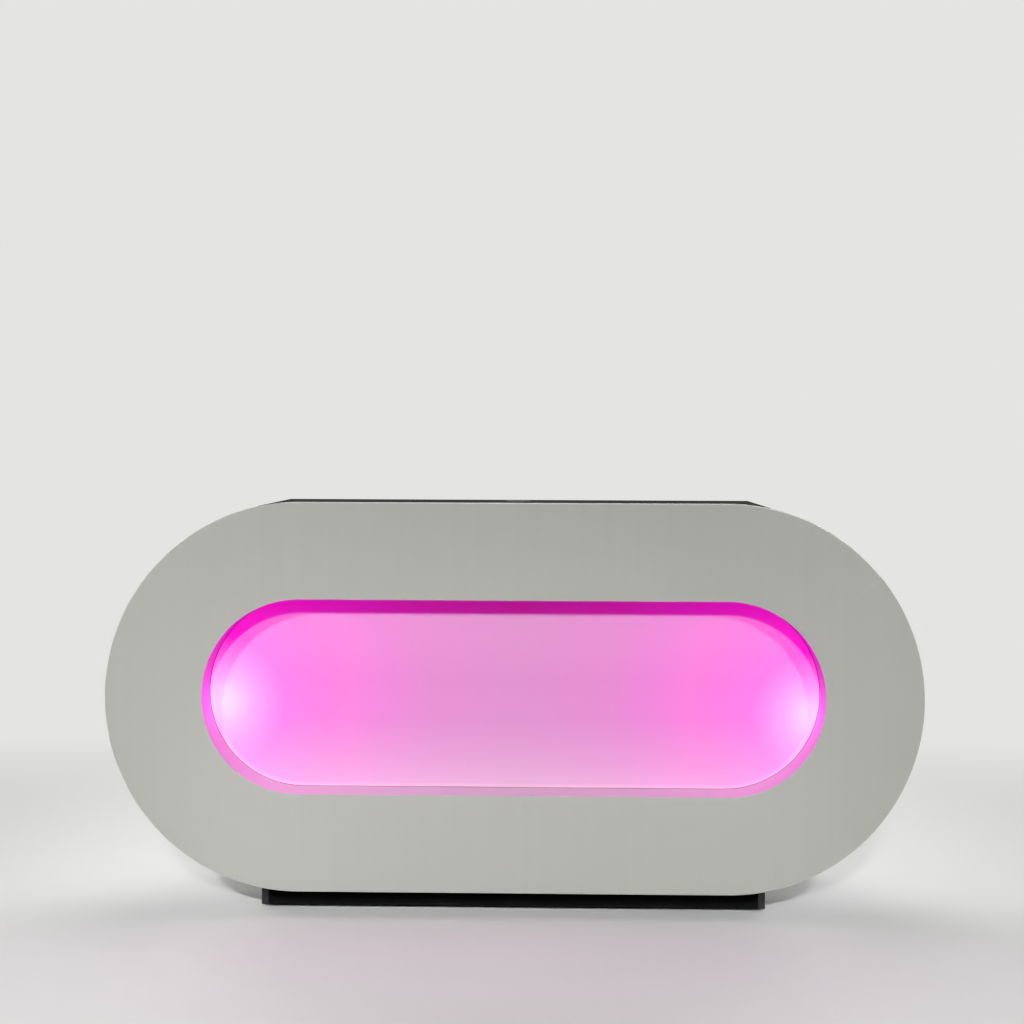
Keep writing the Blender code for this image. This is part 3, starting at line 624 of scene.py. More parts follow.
@dataclass(frozen=True)
class RolledPaint(Finish):
    """Matt paint rolled on board: a low stipple, uneven sheen, and pale scuffs where it is rubbed.

    Attributes:
        stipple_mm: the size of the stipple, coarser than a roller leaves, so that it shows.
        sheen_mm: the size of the duller and the shinier places.
        scuff_turn: how far the scuffs lie from the frame's X, round X, Y and Z.
        scuff_share: the level that their pattern has to pass: the higher, the fewer scuffs.
    """

    scuff: str = "#4A4846"
    stipple_mm: float = 3.0
    stipple_depth_mm: float = 0.12
    sheen_mm: float = 180.0
    scuff_mm: float = 9.0
    scuff_run_mm: float = 120.0
    scuff_turn: tuple[float, ...] = (0.0, math.radians(24.0), math.radians(8.0))
    scuff_share: float = 0.72

    def dress(self, tree: NodeTree, place: NodeSocket) -> dict[str, Any]:
        """Makes the stipple, the sheen and the scuffs.

        Args:
            tree: its nodes.
            place: the Object coordinates.

        Returns:
            The shader's inputs.
        """
        stipple = add_node(
            tree, "TexNoise", {"Vector": place, "Scale": per_metre(self.stipple_mm), "Detail": 2.0}
        )
        sheen = add_node(
            tree, "TexNoise", {"Vector": place, "Scale": per_metre(self.sheen_mm), "Detail": 3.0}
        )
        drawn_out = add_node(
            tree,
            "Mapping",
            {
                "Vector": place,
                "Rotation": self.scuff_turn,
                "Scale": (self.scuff_mm / self.scuff_run_mm, 1.0, 1.0),
            },
        )
        scratches = add_node(
            tree, "TexNoise", {"Vector": drawn_out, "Scale": per_metre(self.scuff_mm), "Detail": 4.0}
        )
        rubbed = add_node(
            tree,
            "MapRange",
            {
                "Value": scratches,
                "From Min": self.scuff_share,
                "From Max": self.scuff_share + 0.16,
                "To Max": 0.7,
            },
        )
        swing, depth = (-0.12, 0.12), self.stipple_depth_mm
        return self.coat(tree, rubbed, self.scuff, sheen, swing, stipple, depth, strength=0.5)


@dataclass(frozen=True)
class PearlLaminate(Finish):
    """High-pressure laminate pressed with a pearl texture: small pits, faint dust and fine scratches.

    Attributes:
        dust: the colour of the dust and the scratches.
        gloss: the specular level.
        pit_mm: the size of a pit, about twice the real one, so that it shows.
        dust_mm: the size of the dusty places.
        scratch_turn: how far the scratches lie from the frame's X, round X, Y and Z.
    """

    dust: str = "#3A3A3D"
    gloss: float = 0.22
    pit_mm: float = 1.6
    pit_depth_mm: float = 0.06
    dust_mm: float = 140.0
    scratch_mm: float = 3.0
    scratch_run_mm: float = 160.0
    scratch_turn: tuple[float, ...] = (0.0, 0.0, math.radians(17.0))

    def dress(self, tree: NodeTree, place: NodeSocket) -> dict[str, Any]:
        """Makes the pits, the dust and the scratches.

        Args:
            tree: its nodes.
            place: the Object coordinates.

        Returns:
            The shader's inputs.
        """
        pits = add_node(
            tree, "TexVoronoi", {"Vector": place, "Scale": per_metre(self.pit_mm), "Randomness": 0.9}
        )
        dusty = add_node(
            tree,
            "TexNoise",
            {"Vector": place, "Scale": per_metre(self.dust_mm), "Detail": 5.0, "Roughness": 0.6},
        )
        drawn_out = add_node(
            tree,
            "Mapping",
            {
                "Vector": place,
                "Rotation": self.scratch_turn,
                "Scale": (self.scratch_mm / self.scratch_run_mm, 1.0, 1.0),
            },
        )
        scratches = add_node(
            tree, "TexNoise", {"Vector": drawn_out, "Scale": per_metre(self.scratch_mm), "Detail": 2.0}
        )
        lines = add_node(
            tree, "MapRange", {"Value": scratches, "From Min": 0.68, "From Max": 0.78, "To Max": 0.35}
        )
        film = add_node(
            tree, "MapRange", {"Value": dusty, "From Min": 0.45, "From Max": 0.80, "To Max": 0.14}
        )
        marks = add_node(tree, "Math", {0: lines, 1: film}, operation="MAXIMUM")
        swing, depth = (-0.03, 0.05), self.pit_depth_mm
        worn = self.coat(tree, marks, self.dust, dusty, swing, pits, depth, strength=0.45)
        return worn | {"Specular IOR Level": self.gloss}


@dataclass(frozen=True)
class BirchPly(Finish):
    """Raw birch plywood: long pale grain on the faces and dark glue lines along the sawn edges.

    Attributes:
        across: the axis that the veneers are stacked along.
        grain: the colour of the darker grain.
        ply_mm: the thickness of one veneer.
    """

    across: Axis = Axis.Y
    glue: str = "#8A6238"
    grain: str = "#B98F5C"
    ply_mm: float = 1.5
    grain_mm: float = 5.0
    grain_run_mm: float = 190.0
    grain_depth_mm: float = 0.2

    def dress(self, tree: NodeTree, place: NodeSocket) -> dict[str, Any]:
        """Makes the grain, which runs along X, and the veneers across the board.

        Args:
            tree: its nodes.
            place: the Object coordinates.

        Returns:
            The shader's inputs.
        """
        drawn_out = add_node(
            tree, "Mapping", {"Vector": place, "Scale": (self.grain_mm / self.grain_run_mm, 1.0, 1.0)}
        )
        grain = add_node(
            tree,
            "TexNoise",
            {
                "Vector": drawn_out,
                "Scale": per_metre(self.grain_mm),
                "Detail": 4.0,
                "Distortion": 0.6,
            },
        )
        grained = add_node(
            tree, "MapRange", {"Value": grain, "From Min": 0.40, "From Max": 0.72, "To Max": 0.8}
        )
        face = add_node(
            tree, "Mix", {0: grained, 6: linear(self.colour), 7: linear(self.grain)}, **IN_COLOUR
        )
        ply = self.ply_mm * MM
        stacked = add_node(tree, "SeparateXYZ", {0: place}, out=self.across.value)
        layer = add_node(tree, "Math", {0: stacked, 1: 2.0 * ply}, operation="PINGPONG")
        glued = add_node(
            tree,
            "MapRange",
            {"Value": layer, "From Min": 0.9 * ply, "From Max": 1.1 * ply, "To Max": 0.75},
        )
        colour = add_node(tree, "Mix", {0: glued, 6: face, 7: linear(self.glue)}, **IN_COLOUR)
        bump = add_node(
            tree, "Bump", {"Height": grain, "Strength": 0.3, "Distance": self.grain_depth_mm * MM}
        )
        return {"Base Color": colour, "Normal": bump}


@dataclass(frozen=True)
class MouldedPlastic(Finish):
    """Injection-moulded plastic with a fine eroded grain and a slightly rubbed sheen.

    Attributes:
        rubbed: the colour where it is rubbed.
        grain_mm: the size of the grain, coarser than a mould leaves, so that it shows.
        rub_mm: the size of the rubbed places.
    """

    rubbed: str = "#2E2E30"
    grain_mm: float = 0.9
    grain_depth_mm: float = 0.02
    rub_mm: float = 14.0

    def dress(self, tree: NodeTree, place: NodeSocket) -> dict[str, Any]:
        """Makes the grain and the rubbed sheen.

        Args:
            tree: its nodes.
            place: the Object coordinates.

        Returns:
            The shader's inputs.
        """
        grain = add_node(
            tree, "TexNoise", {"Vector": place, "Scale": per_metre(self.grain_mm), "Detail": 1.0}
        )
        rub = add_node(
            tree, "TexNoise", {"Vector": place, "Scale": per_metre(self.rub_mm), "Detail": 3.0}
        )
        share = add_node(
            tree, "MapRange", {"Value": rub, "From Min": 0.50, "From Max": 0.75, "To Max": 0.6}
        )
        swing = (0.10, -0.10)
        return self.coat(tree, share, self.rubbed, rub, swing, grain, self.grain_depth_mm)


@dataclass(frozen=True)
class ZincPlate(Finish):
    """Bright zinc plate on pressed steel: cool grey with cloudy spangle and rolling lines.

    Attributes:
        cloud: the colour of the spangle's darker clouds.
    """

    cloud: str = "#8F9295"
    spangle_mm: float = 6.0
    line_mm: float = 0.8
    line_run_mm: float = 60.0

    def dress(self, tree: NodeTree, place: NodeSocket) -> dict[str, Any]:
        """Makes the spangle and the lines.

        Args:
            tree: its nodes.
            place: the Object coordinates.

        Returns:
            The shader's inputs.
        """
        spangle = add_node(
            tree, "TexNoise", {"Vector": place, "Scale": per_metre(self.spangle_mm), "Detail": 4.0}
        )
        colour = add_node(
            tree, "Mix", {0: spangle, 6: linear(self.colour), 7: linear(self.cloud)}, **IN_COLOUR
        )
        drawn_out = add_node(
            tree, "Mapping", {"Vector": place, "Scale": (1.0, 1.0, self.line_mm / self.line_run_mm)}
        )
        lines = add_node(
            tree, "TexNoise", {"Vector": drawn_out, "Scale": per_metre(self.line_mm), "Detail": 2.0}
        )
        rough = add_node(
            tree,
            "MapRange",
            {"Value": lines, "To Min": self.roughness - 0.10, "To Max": self.roughness + 0.16},
        )
        return {"Base Color": colour, "Roughness": rough, "Metallic": 1.0}


@dataclass(frozen=True)
class LampLens(Finish):
    """Clear polycarbonate optics over lit diodes: pink-white at the heart of each dome.

    Attributes:
        light: the colour of the light between the hearts.
        strength: how many times its written colour the light is.
        dome_mm: how far it is from a brighter place to a dimmer one.
        ior: polycarbonate's index of refraction.
    """

    light: str = "#FF3CE0"
    strength: float = 1.2
    dome_mm: float = 9.0
    ior: float = 1.58

    def dress(self, tree: NodeTree, place: NodeSocket) -> dict[str, Any]:
        """Makes the light of the diodes, brighter and dimmer from place to place.

        Args:
            tree: its nodes.
            place: the Object coordinates.

        Returns:
            The shader's inputs.
        """
        flicker = add_node(
            tree, "TexNoise", {"Vector": place, "Scale": per_metre(self.dome_mm), "Detail": 1.0}
        )
        light = add_node(
            tree, "Mix", {0: flicker, 6: linear(self.light), 7: linear(self.colour)}, **IN_COLOUR
        )
        return {"Emission Color": light, "Emission Strength": self.strength, "IOR": self.ior}


# A soft, even white that wiping has left faintly streaked.
LACQUER = SatinLacquer("satin_lacquer_on_fibreboard", "satin_white", "#B4B4AF", 0.36)
# The same white made paler, a painted brightening, flatted, with the sheet's pink light painted on it
# all round.
LINER_LACQUER = LitLacquer(
    "satin_lacquer_on_bent_ply", "satin_white", "#C5C3C4", 0.34, wiped="#C3C1C1"
)
# A paler line round the front, a painted highlight on the rounded edge, nicked here and there down to
# the brown board.
LACQUER_EDGE = SatinLacquer(
    "chipped_edge_lacquer",
    "satin_white",
    "#D2D2CD",
    0.32,
    chips=Chips("#6B5A48", size_mm=7.0, share=0.70, fade=0.02, detail=3.0, ragged=0.6),
)
# Chalky white inside the drum, where it sends the light on.
CHAMBER_WHITE = RolledPaint(
    "white_emulsion", "satin_white", "#C9C7C4", 0.62, scuff="#A7A39E", stipple_depth_mm=0.08
)
# A milky pane, near white by the lamps and pink between them; its base colour holds painted pink lamp
# light and painted highlight.
OPAL = LitOpal("cast_opal_acrylic", "opal_acrylic", "#989498", 0.42)
# Dull black with a roller's stipple and grey rubs.
BLACK_PAINT = RolledPaint("rolled_black_paint", "black_paint", "#29292B", 0.58)
# The same black worn along its edges, with pale wood in the chips.
PAINT_EDGE = RolledPaint(
    "chipped_edge_paint",
    "black_paint",
    "#313133",
    0.52,
    chips=Chips("#A98A5E", size_mm=9.0, share=0.62, fade=0.03, detail=4.0, ragged=0.65),
)
# Black board with a pitted sheen, a little dusty.
LAMINATE = PearlLaminate("pearl_laminate", "black_laminate", "#1A191B", 0.50)
# The same on the top, matt, so that it stays dark when seen along its surface.
TOP_LAMINATE = PearlLaminate("matt_top_laminate", "black_laminate", "#171618", 0.72, gloss=0.015)
# The same, darker, on the plinth: painted shade under the front.
SHADED_KICK_LAMINATE = PearlLaminate("matt_kick_laminate", "black_laminate", "#0E0E0F", 0.62, gloss=0.03)
# Smooth black strips along the boards' edges, a little shinier than the faces.
BANDING = MouldedPlastic("edge_banding", "black_laminate", "#151516", 0.34)
# Pale wood with long grain and brown lines along the sawn edges.
PLY_ACROSS = BirchPly("birch_ply_rings", "plywood", "#D9B98A", 0.62, across=Axis.Y)
PLY_ALONG = BirchPly("birch_ply_ribs", "plywood", "#D6B584", 0.62, across=Axis.X)
# Grained black with shinier rubbed places.
BLACK_PLASTIC = MouldedPlastic("moulded_black_plastic", "black_plastic", "#1B1B1C", 0.44)
# A dull, dusky line round the sheet.
FOAM_TAPE = MouldedPlastic(
    "foam_tape", "black_plastic", "#8E6C74", 0.85, rubbed="#9A7A80", grain_mm=1.4
)
# Mid grey, paler where fingers rub it.
GREY_PLASTIC = MouldedPlastic(
    "moulded_grey_plastic", "grey_plastic", "#8E8E90", 0.42, rubbed="#A4A4A6"
)
# Flat white ink.
MARK_WHITE = MouldedPlastic(
    "printed_white_marks", "grey_plastic", "#D6D6D2", 0.55, rubbed="#C2C2BE"
)
# Cool, bright and faintly clouded metal.
ZINC = ZincPlate("bright_zinc_plate", "zinc_steel", "#B4B7BA", 0.34)
# The same metal gone dull and dark.
HINGE_STEEL = ZincPlate("dulled_zinc_strip", "zinc_steel", "#7E8184", 0.44, cloud="#5C5F62")
# Warm, silvery metal.
NICKEL = ZincPlate("nickel_contact", "zinc_steel", "#C9C2B0", 0.28, cloud="#A79E88")
# Black with a fine crinkle, grey where it is rubbed.
POWDER_COAT = RolledPaint(
    "black_powder_coat",
    "cast_aluminium",
    "#242426",
    0.50,
    scuff="#5A5A5C",
    stipple_mm=1.8,
    scuff_share=0.74,
)
# Clear, shiny domes with pink light in them.
LENS = LampLens("polycarbonate_optics", "lens", "#FFD8FA", 0.12)
# Black, smooth and half dull.
SHEATH = MouldedPlastic("pvc_cable_sheath", "cable_sheath", "#141415", 0.50, grain_mm=1.2)


def ease_edges(
    shape: BMesh, width: float, segments: int = 2, among: Iterable[BMEdge] | None = None
) -> list[BMFace]:
    """Rounds every sharp edge.

    Args:
        shape: what is rounded.
        width: how far the rounding reaches from the edge.
        segments: how many faces go round it.
        among: the edges that are looked at, where it isn't all of them.

    Returns:
        The faces of the roundings.
    """
    edges = shape.edges if among is None else among
    sharp = [e for e in edges if e.is_manifold and e.calc_face_angle(0.0) > SHARP]
    made = bmesh.ops.bevel(
        shape,
        geom=sharp,
        offset=width,
        offset_type="OFFSET",
        affect="EDGES",
        segments=segments,
        profile=0.5,
        material=-1,
        clamp_overlap=True,
    )
    return made["faces"]


def eased_box(low: Vector, high: Vector, width: float, segments: int = 2) -> BMesh:
    """A box between two corners.

    Args:
        low: its lowest corner.
        high: its highest corner.
        width: how far its edges are rounded.
        segments: how many faces go round an edge.

    Returns:
        The box.
    """
    shape = bmesh.new()
    bmesh.ops.create_cube(shape, size=1.0)
    bmesh.ops.scale(shape, vec=high - low, verts=shape.verts)
    bmesh.ops.translate(shape, vec=(low + high) / 2, verts=shape.verts)
    ease_edges(shape, width, segments)
    return shape


def turned(profile: Profile, steps: int, width: float = 0.0) -> BMesh:
    """Spins a profile round Z.

    Args:
        profile: radius and height of each point, in order along the outside.
        steps: how many faces go round.
        width: how far the edges are rounded.

    Returns:
        The turned shape, with its axis on Z.
    """
    shape = bmesh.new()
    points = [shape.verts.new((radius, 0.0, height)) for radius, height in profile]
    edges = [shape.edges.new(pair) for pair in zip(points, points[1:])]
    bmesh.ops.spin(
        shape,
        geom=[*points, *edges],
        cent=(0.0, 0.0, 0.0),
        axis=UP,
        angle=2 * math.pi,
        steps=steps,
        use_merge=True,
    )
    bmesh.ops.remove_doubles(shape, verts=shape.verts, dist=WELD)
    bmesh.ops.recalc_face_normals(shape, faces=shape.faces)
    if width:
        ease_edges(shape, width)
    return shape


def moved(shape: BMesh, place: Vector, facing: Vector = UP) -> BMesh:
    """Turns a shape's Z towards a direction, then carries it to its place.

    Args:
        shape: the shape.
        place: where its zero goes.
        facing: the way that its Z goes.

    Returns:
        The same shape.
    """
    turn = facing.to_track_quat("Z", "Y").to_matrix().to_4x4()
    bmesh.ops.transform(shape, matrix=Matrix.Translation(place) @ turn, verts=shape.verts)
    return shape


def gathered(shapes: Iterable[BMesh]) -> BMesh:
    """Gathers shapes into one mesh.

    Args:
        shapes: the shapes, which are used up.

    Returns:
        The mesh, in which each stays a body of its own.
    """
    whole = bmesh.new()
    for shape in shapes:
        part = bpy.data.meshes.new("part")
        shape.to_mesh(part)
        shape.free()
        whole.from_mesh(part)
        bpy.data.meshes.remove(part)
    return whole


def screw_head(radius: float, rise: float = 0.5 * MM, depth: float = 0.6 * MM) -> BMesh:
    """A low screw head with a cross recess, facing +Z, with its rim at zero.

    Args:
        radius: the head's radius.
        rise: how far its middle stands above the rim.
        depth: how far the recess goes down.

    Returns:
        The head, closed underneath.
    """
    shape = bmesh.new()
    cells = 5
    cell = 2.0 / cells
    bmesh.ops.create_grid(shape, x_segments=cells, y_segments=cells, size=1.0)
    cross = []
    for face in shape.faces:
        near, far = sorted(abs(away) for away in face.calc_center_median().xy)
        if near < cell / 4 and far < 1.25 * cell:
            cross.append(face)
    for vert in shape.verts:
        ring = max(abs(vert.co.x), abs(vert.co.y))
        flat = Vector((vert.co.x, vert.co.y, 0.0))
        vert.co = flat.normalized() * ring * radius if ring else flat
        vert.co.z = rise * (1.0 - ring * ring)
    skirt = bmesh.ops.extrude_edge_only(shape, edges=[e for e in shape.edges if e.is_boundary])
    rim = [g for g in skirt["geom"] if isinstance(g, BMVert)]
    bmesh.ops.translate(shape, vec=-rise * UP, verts=rim)
    bmesh.ops.holes_fill(shape, edges=[e for e in shape.edges if e.is_boundary], sides=0)
    sunk = bmesh.ops.extrude_face_region(shape, geom=cross)
    floor = [g for g in sunk["geom"] if isinstance(g, BMVert)]
    bmesh.ops.delete(shape, geom=cross, context="FACES")
    bmesh.ops.translate(shape, vec=-depth * UP, verts=floor)
    bmesh.ops.recalc_face_normals(shape, faces=shape.faces)
    return shape


def screws(places: Iterable[Vector], facing: Vector, radius: float = 4.2 * MM) -> BMesh:
    """A group of like screws.

    Args:
        places: where each head's rim lies.
        facing: the way that the heads look.
        radius: a head's radius.

    Returns:
        The heads, each a body of its own.
    """
    return gathered(moved(screw_head(radius), place, facing) for place in places)


class Sweep:
    """A section carried along straight runs and turns, the way a strip is bent or a board is routed."""

    def __init__(self, section: Sequence[Vector]) -> None:
        """Starts at a section.

        Args:
            section: its corners, in order round it.
        """
        self.shape = bmesh.new()
        corners = [self.shape.verts.new(corner) for corner in section]
        self.first = [self.shape.edges.new(p) for p in zip(corners, corners[1:] + corners[:1])]
        self.last = list(self.first)

    def run(self, way: Vector) -> "Sweep":
        """Carries the section straight along.

        Args:
            way: how far, and which way.

        Returns:
            The sweep itself.
        """
        grown = bmesh.ops.extrude_edge_only(self.shape, edges=self.last)["geom"]
        ends = {g for g in grown if isinstance(g, BMVert)}
        bmesh.ops.translate(self.shape, vec=way, verts=list(ends))
        self.last = [g for g in grown if isinstance(g, BMEdge) and ends.issuperset(g.verts)]
        return self

    def turn(self, centre: Vector, axis: Vector, angle: float, steps: int) -> "Sweep":
        """Carries the section round a bend.

        Args:
            centre: a point on the bend's axis.
            axis: the axis.
            angle: how far it turns, in radians.
            steps: how many faces go round.

        Returns:
            The sweep itself.
        """
        corners = dict.fromkeys(vert for edge in self.last for vert in edge.verts)
        grown = bmesh.ops.spin(
            self.shape,
            geom=[*corners, *self.last],
            cent=centre,
            axis=axis,
            angle=angle,
            steps=steps,
        )
        self.last = [g for g in grown["geom_last"] if isinstance(g, BMEdge)]
        return self

    def joined(self) -> BMesh:
        """Welds the shape's end to its start.

        Returns:
            The shape.
        """
        bmesh.ops.remove_doubles(self.shape, verts=self.shape.verts, dist=WELD)
        bmesh.ops.recalc_face_normals(self.shape, faces=self.shape.faces)
        return self.shape

    def capped(self) -> BMesh:
        """The shape, with both ends closed."""
        for ends in (self.first, self.last):
            bmesh.ops.contextual_create(self.shape, geom=ends)
        return self.joined()


@dataclass(frozen=True)
class Pill:
    """The upright pill that the booth is drawn on: a straight run with a half turn at each end.

    Attributes:
        half_run: half its straight run.
        centre: the height of its middle.
        steps: how many faces go round each half turn.
    """

    half_run: float
    centre: float
    steps: int = 96

    @classmethod
    def of_node(cls, node: str) -> "Pill":
        """The pill that a node's box is drawn round.

        Args:
            node: the CAD node.

        Returns:
            Its pill.
        """
        low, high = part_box(node)
        radius = (high.z - low.z) / 2
        return cls(high.x - radius, (high.z + low.z) / 2)

    def section(
        self, x: float, inner: float, outer: float, front: float, rear: float
    ) -> list[Vector]:
        """The corners of a rectangular section above the pill's middle line, at one x."""
        corners = ((inner, front), (outer, front), (outer, rear), (inner, rear))
        return [Vector((x, y, self.centre + radius)) for radius, y in corners]

    def end(self, side: Side) -> Vector:
        """The middle of one of its half turns."""
        return Vector((side.value * self.half_run, 0.0, self.centre))

    def ring(self, inner: float, outer: float, front: float, rear: float) -> BMesh:
        """A board or band that goes all the way round.

        Args:
            inner: its inner radius.
            outer: its outer radius.
            front: its front plane, along Y.
            rear: its rear plane.

        Returns:
            The ring.
        """
        length = Vector((2 * self.half_run, 0.0, 0.0))
        strip = Sweep(self.section(self.half_run, inner, outer, front, rear))
        strip.turn(self.end(Side.RIGHT), REARWARDS, math.pi, self.steps).run(-length)
        strip.turn(self.end(Side.LEFT), REARWARDS, math.pi, self.steps).run(length)
        return strip.joined()

    def half_band(
        self, side: Side, seam: float, inner: float, outer: float, front: float, rear: float
    ) -> BMesh:
        """Half a band, from the seam above its middle round one end to the seam below.

        Args:
            side: the end that it goes round.
            seam: how far the seams lie from the middle.
            inner: its inner radius.
            outer: its outer radius.
            front: its front plane, along Y.
            rear: its rear plane.

        Returns:
            The half band, closed at the seams.
        """
        sign = side.value
        length = Vector((sign * (self.half_run - seam), 0.0, 0.0))
        strip = Sweep(self.section(sign * seam, inner, outer, front, rear)).run(length)
        strip.turn(self.end(side), REARWARDS, sign * math.pi, self.steps).run(-length)
        return strip.capped()

    def sheet(self, radius: float, front: float, rear: float) -> BMesh:
        """A whole sheet cut to a pill.

        Args:
            radius: the radius of its ends.
            front: its front plane, along Y.
            rear: its rear plane.

        Returns:
            The sheet.
        """
        shape = bmesh.new()
        count = 2 * self.steps
        bmesh.ops.create_circle(shape, cap_ends=True, segments=count, radius=radius)
        half_step = Matrix.Rotation(math.pi / count, 4, "Z")
        upright = Matrix.Rotation(math.pi / 2, 4, "X")
        placed = Matrix.Translation((0.0, front, self.centre))
        bmesh.ops.transform(shape, matrix=placed @ upright @ half_step, verts=shape.verts)
        for side in Side:
            half = [v for v in shape.verts if v.co.x * side.value > 0]
            bmesh.ops.translate(shape, vec=(side.value * self.half_run, 0.0, 0.0), verts=half)
        grown = bmesh.ops.extrude_face_region(shape, geom=shape.faces[:])
        back = [g for g in grown["geom"] if isinstance(g, BMVert)]
        bmesh.ops.translate(shape, vec=(0.0, rear - front, 0.0), verts=back)
        bmesh.ops.recalc_face_normals(shape, faces=shape.faces)
        return shape

    def along(self, radius: float, y: float, count: int) -> list[Vector]:
        """Evenly spaced points round a pill.

        Args:
            radius: the pill's radius.
            y: the plane that they lie in.
            count: how many.

        Returns:
            The points, starting half a space past the middle of the top.
        """
        arc = math.pi * radius
        whole = 4 * self.half_run + 2 * arc
        points = []
        for i in range(count):
            run = (i + 0.5) * whole / count
            half, sign = (run, 1) if run < whole / 2 else (whole - run, -1)
            if half < self.half_run:
                x, z = half, radius
            elif half < self.half_run + arc:
                angle = (half - self.half_run) / radius
                x, z = self.half_run + radius * math.sin(angle), radius * math.cos(angle)
            else:
                x, z = 2 * self.half_run + arc - half, -radius
            points.append(Vector((sign * x, y, self.centre + z)))
        return points

    def reach(self, point: Vector) -> float:
        """How far a point lies from the pill's middle line."""
        return math.hypot(max(abs(point.x) - self.half_run, 0.0), point.z - self.centre)


@dataclass
class Workshop:
    """Where pieces are finished: it gives each its material and its body, and hides the nodes it stands
    for.

    Attributes:
        flat: the angle below which two faces of a CAD node are one.
    """

    frame: dict[str, Any]
    flat: float = math.radians(0.5)

    def copy_of(self, node: str) -> BMesh:
        """A node's shape with whole faces.

        Args:
            node: the CAD node.

        Returns:
            A copy of its shape.
        """
        shape = bmesh.new()
        shape.from_mesh(self.frame["nodes"][node].data)
        bmesh.ops.remove_doubles(shape, verts=shape.verts, dist=WELD)
        bmesh.ops.dissolve_limit(
            shape, angle_limit=self.flat, verts=shape.verts, edges=shape.edges
        )
        for face in shape.faces:
            face.material_index = 0
        return shape

    def add(
        self,
        name: str,
        shape: BMesh,
        finishes: Finish | Sequence[Finish],
        body: str = BOOTH,
        stands_for: Sequence[str] = (),
    ) -> Object:
        """Makes a shape a piece of the booth.

        Args:
            name: the piece's name.
            shape: its mesh, which is used up.
            finishes: its finish, or the finishes that its faces' material numbers pick from.
            body: the CAD body that it moves with.
            stands_for: the CAD nodes that it replaces.

        Returns:
            The piece.
        """
        chosen = [finishes] if isinstance(finishes, Finish) else list(finishes)
        mesh = bpy.data.meshes.new(name)
        shape.to_mesh(mesh)
        shape.free()
        for finish in chosen:
            mesh.materials.append(finish.material())
        mesh.shade_smooth()
        mesh.set_sharp_from_angle(angle=CREASE)
        piece = bpy.data.objects.new(name, mesh)
        bpy.context.scene.collection.objects.link(piece)
        even = piece.modifiers.new("even_normals", "WEIGHTED_NORMAL")
        even.keep_sharp = True
        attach(piece, body)
        if stands_for:
            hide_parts(*stands_for)
        LOG.info("%s: %d faces, rides on %s", name, len(mesh.polygons), body)
        return piece

    def refine(
        self,
        node: str,
        finishes: Finish | Sequence[Finish],
        body: str = BOOTH,
        *,
        width: float,
        number: Callable[[BMFace], int] | None = None,
        worn: int | None = None,
    ) -> Object:
        """Replaces a node by its own shape with rounded edges.

        Args:
            node: the CAD node.
            finishes: its finish or finishes.
            body: the body that it moves with.
            width: how far the roundings reach.
            number: picks each face's finish, where there are several.
            worn: the finish of the rounded edges, where it is one of their own.

        Returns:
            The piece.
        """
        shape = self.copy_of(node)
        shape.normal_update()
        for face in shape.faces if number else ():
            face.material_index = number(face)
        eased = ease_edges(shape, width) if width else []
        for face in eased if worn is not None else ():
            face.material_index = worn
        return self.add(f"{node}_finished", shape, finishes, body, [node])

    def board(
        self, node: str, finishes: Sequence[Finish], thin: Axis, width: float = 0.8 * MM
    ) -> Object:
        """Replaces a board, with its second finish on its edges.

        Args:
            node: the CAD node.
            finishes: the finish of its faces, then that of its edges.
            thin: the axis that it is thin along.
            width: how far its edges are rounded.

        Returns:
            The piece.
        """
        return self.refine(
            node,
            finishes,
            width=width,
            number=lambda face: int(abs(face.normal[thin.value]) < FACING),
        )


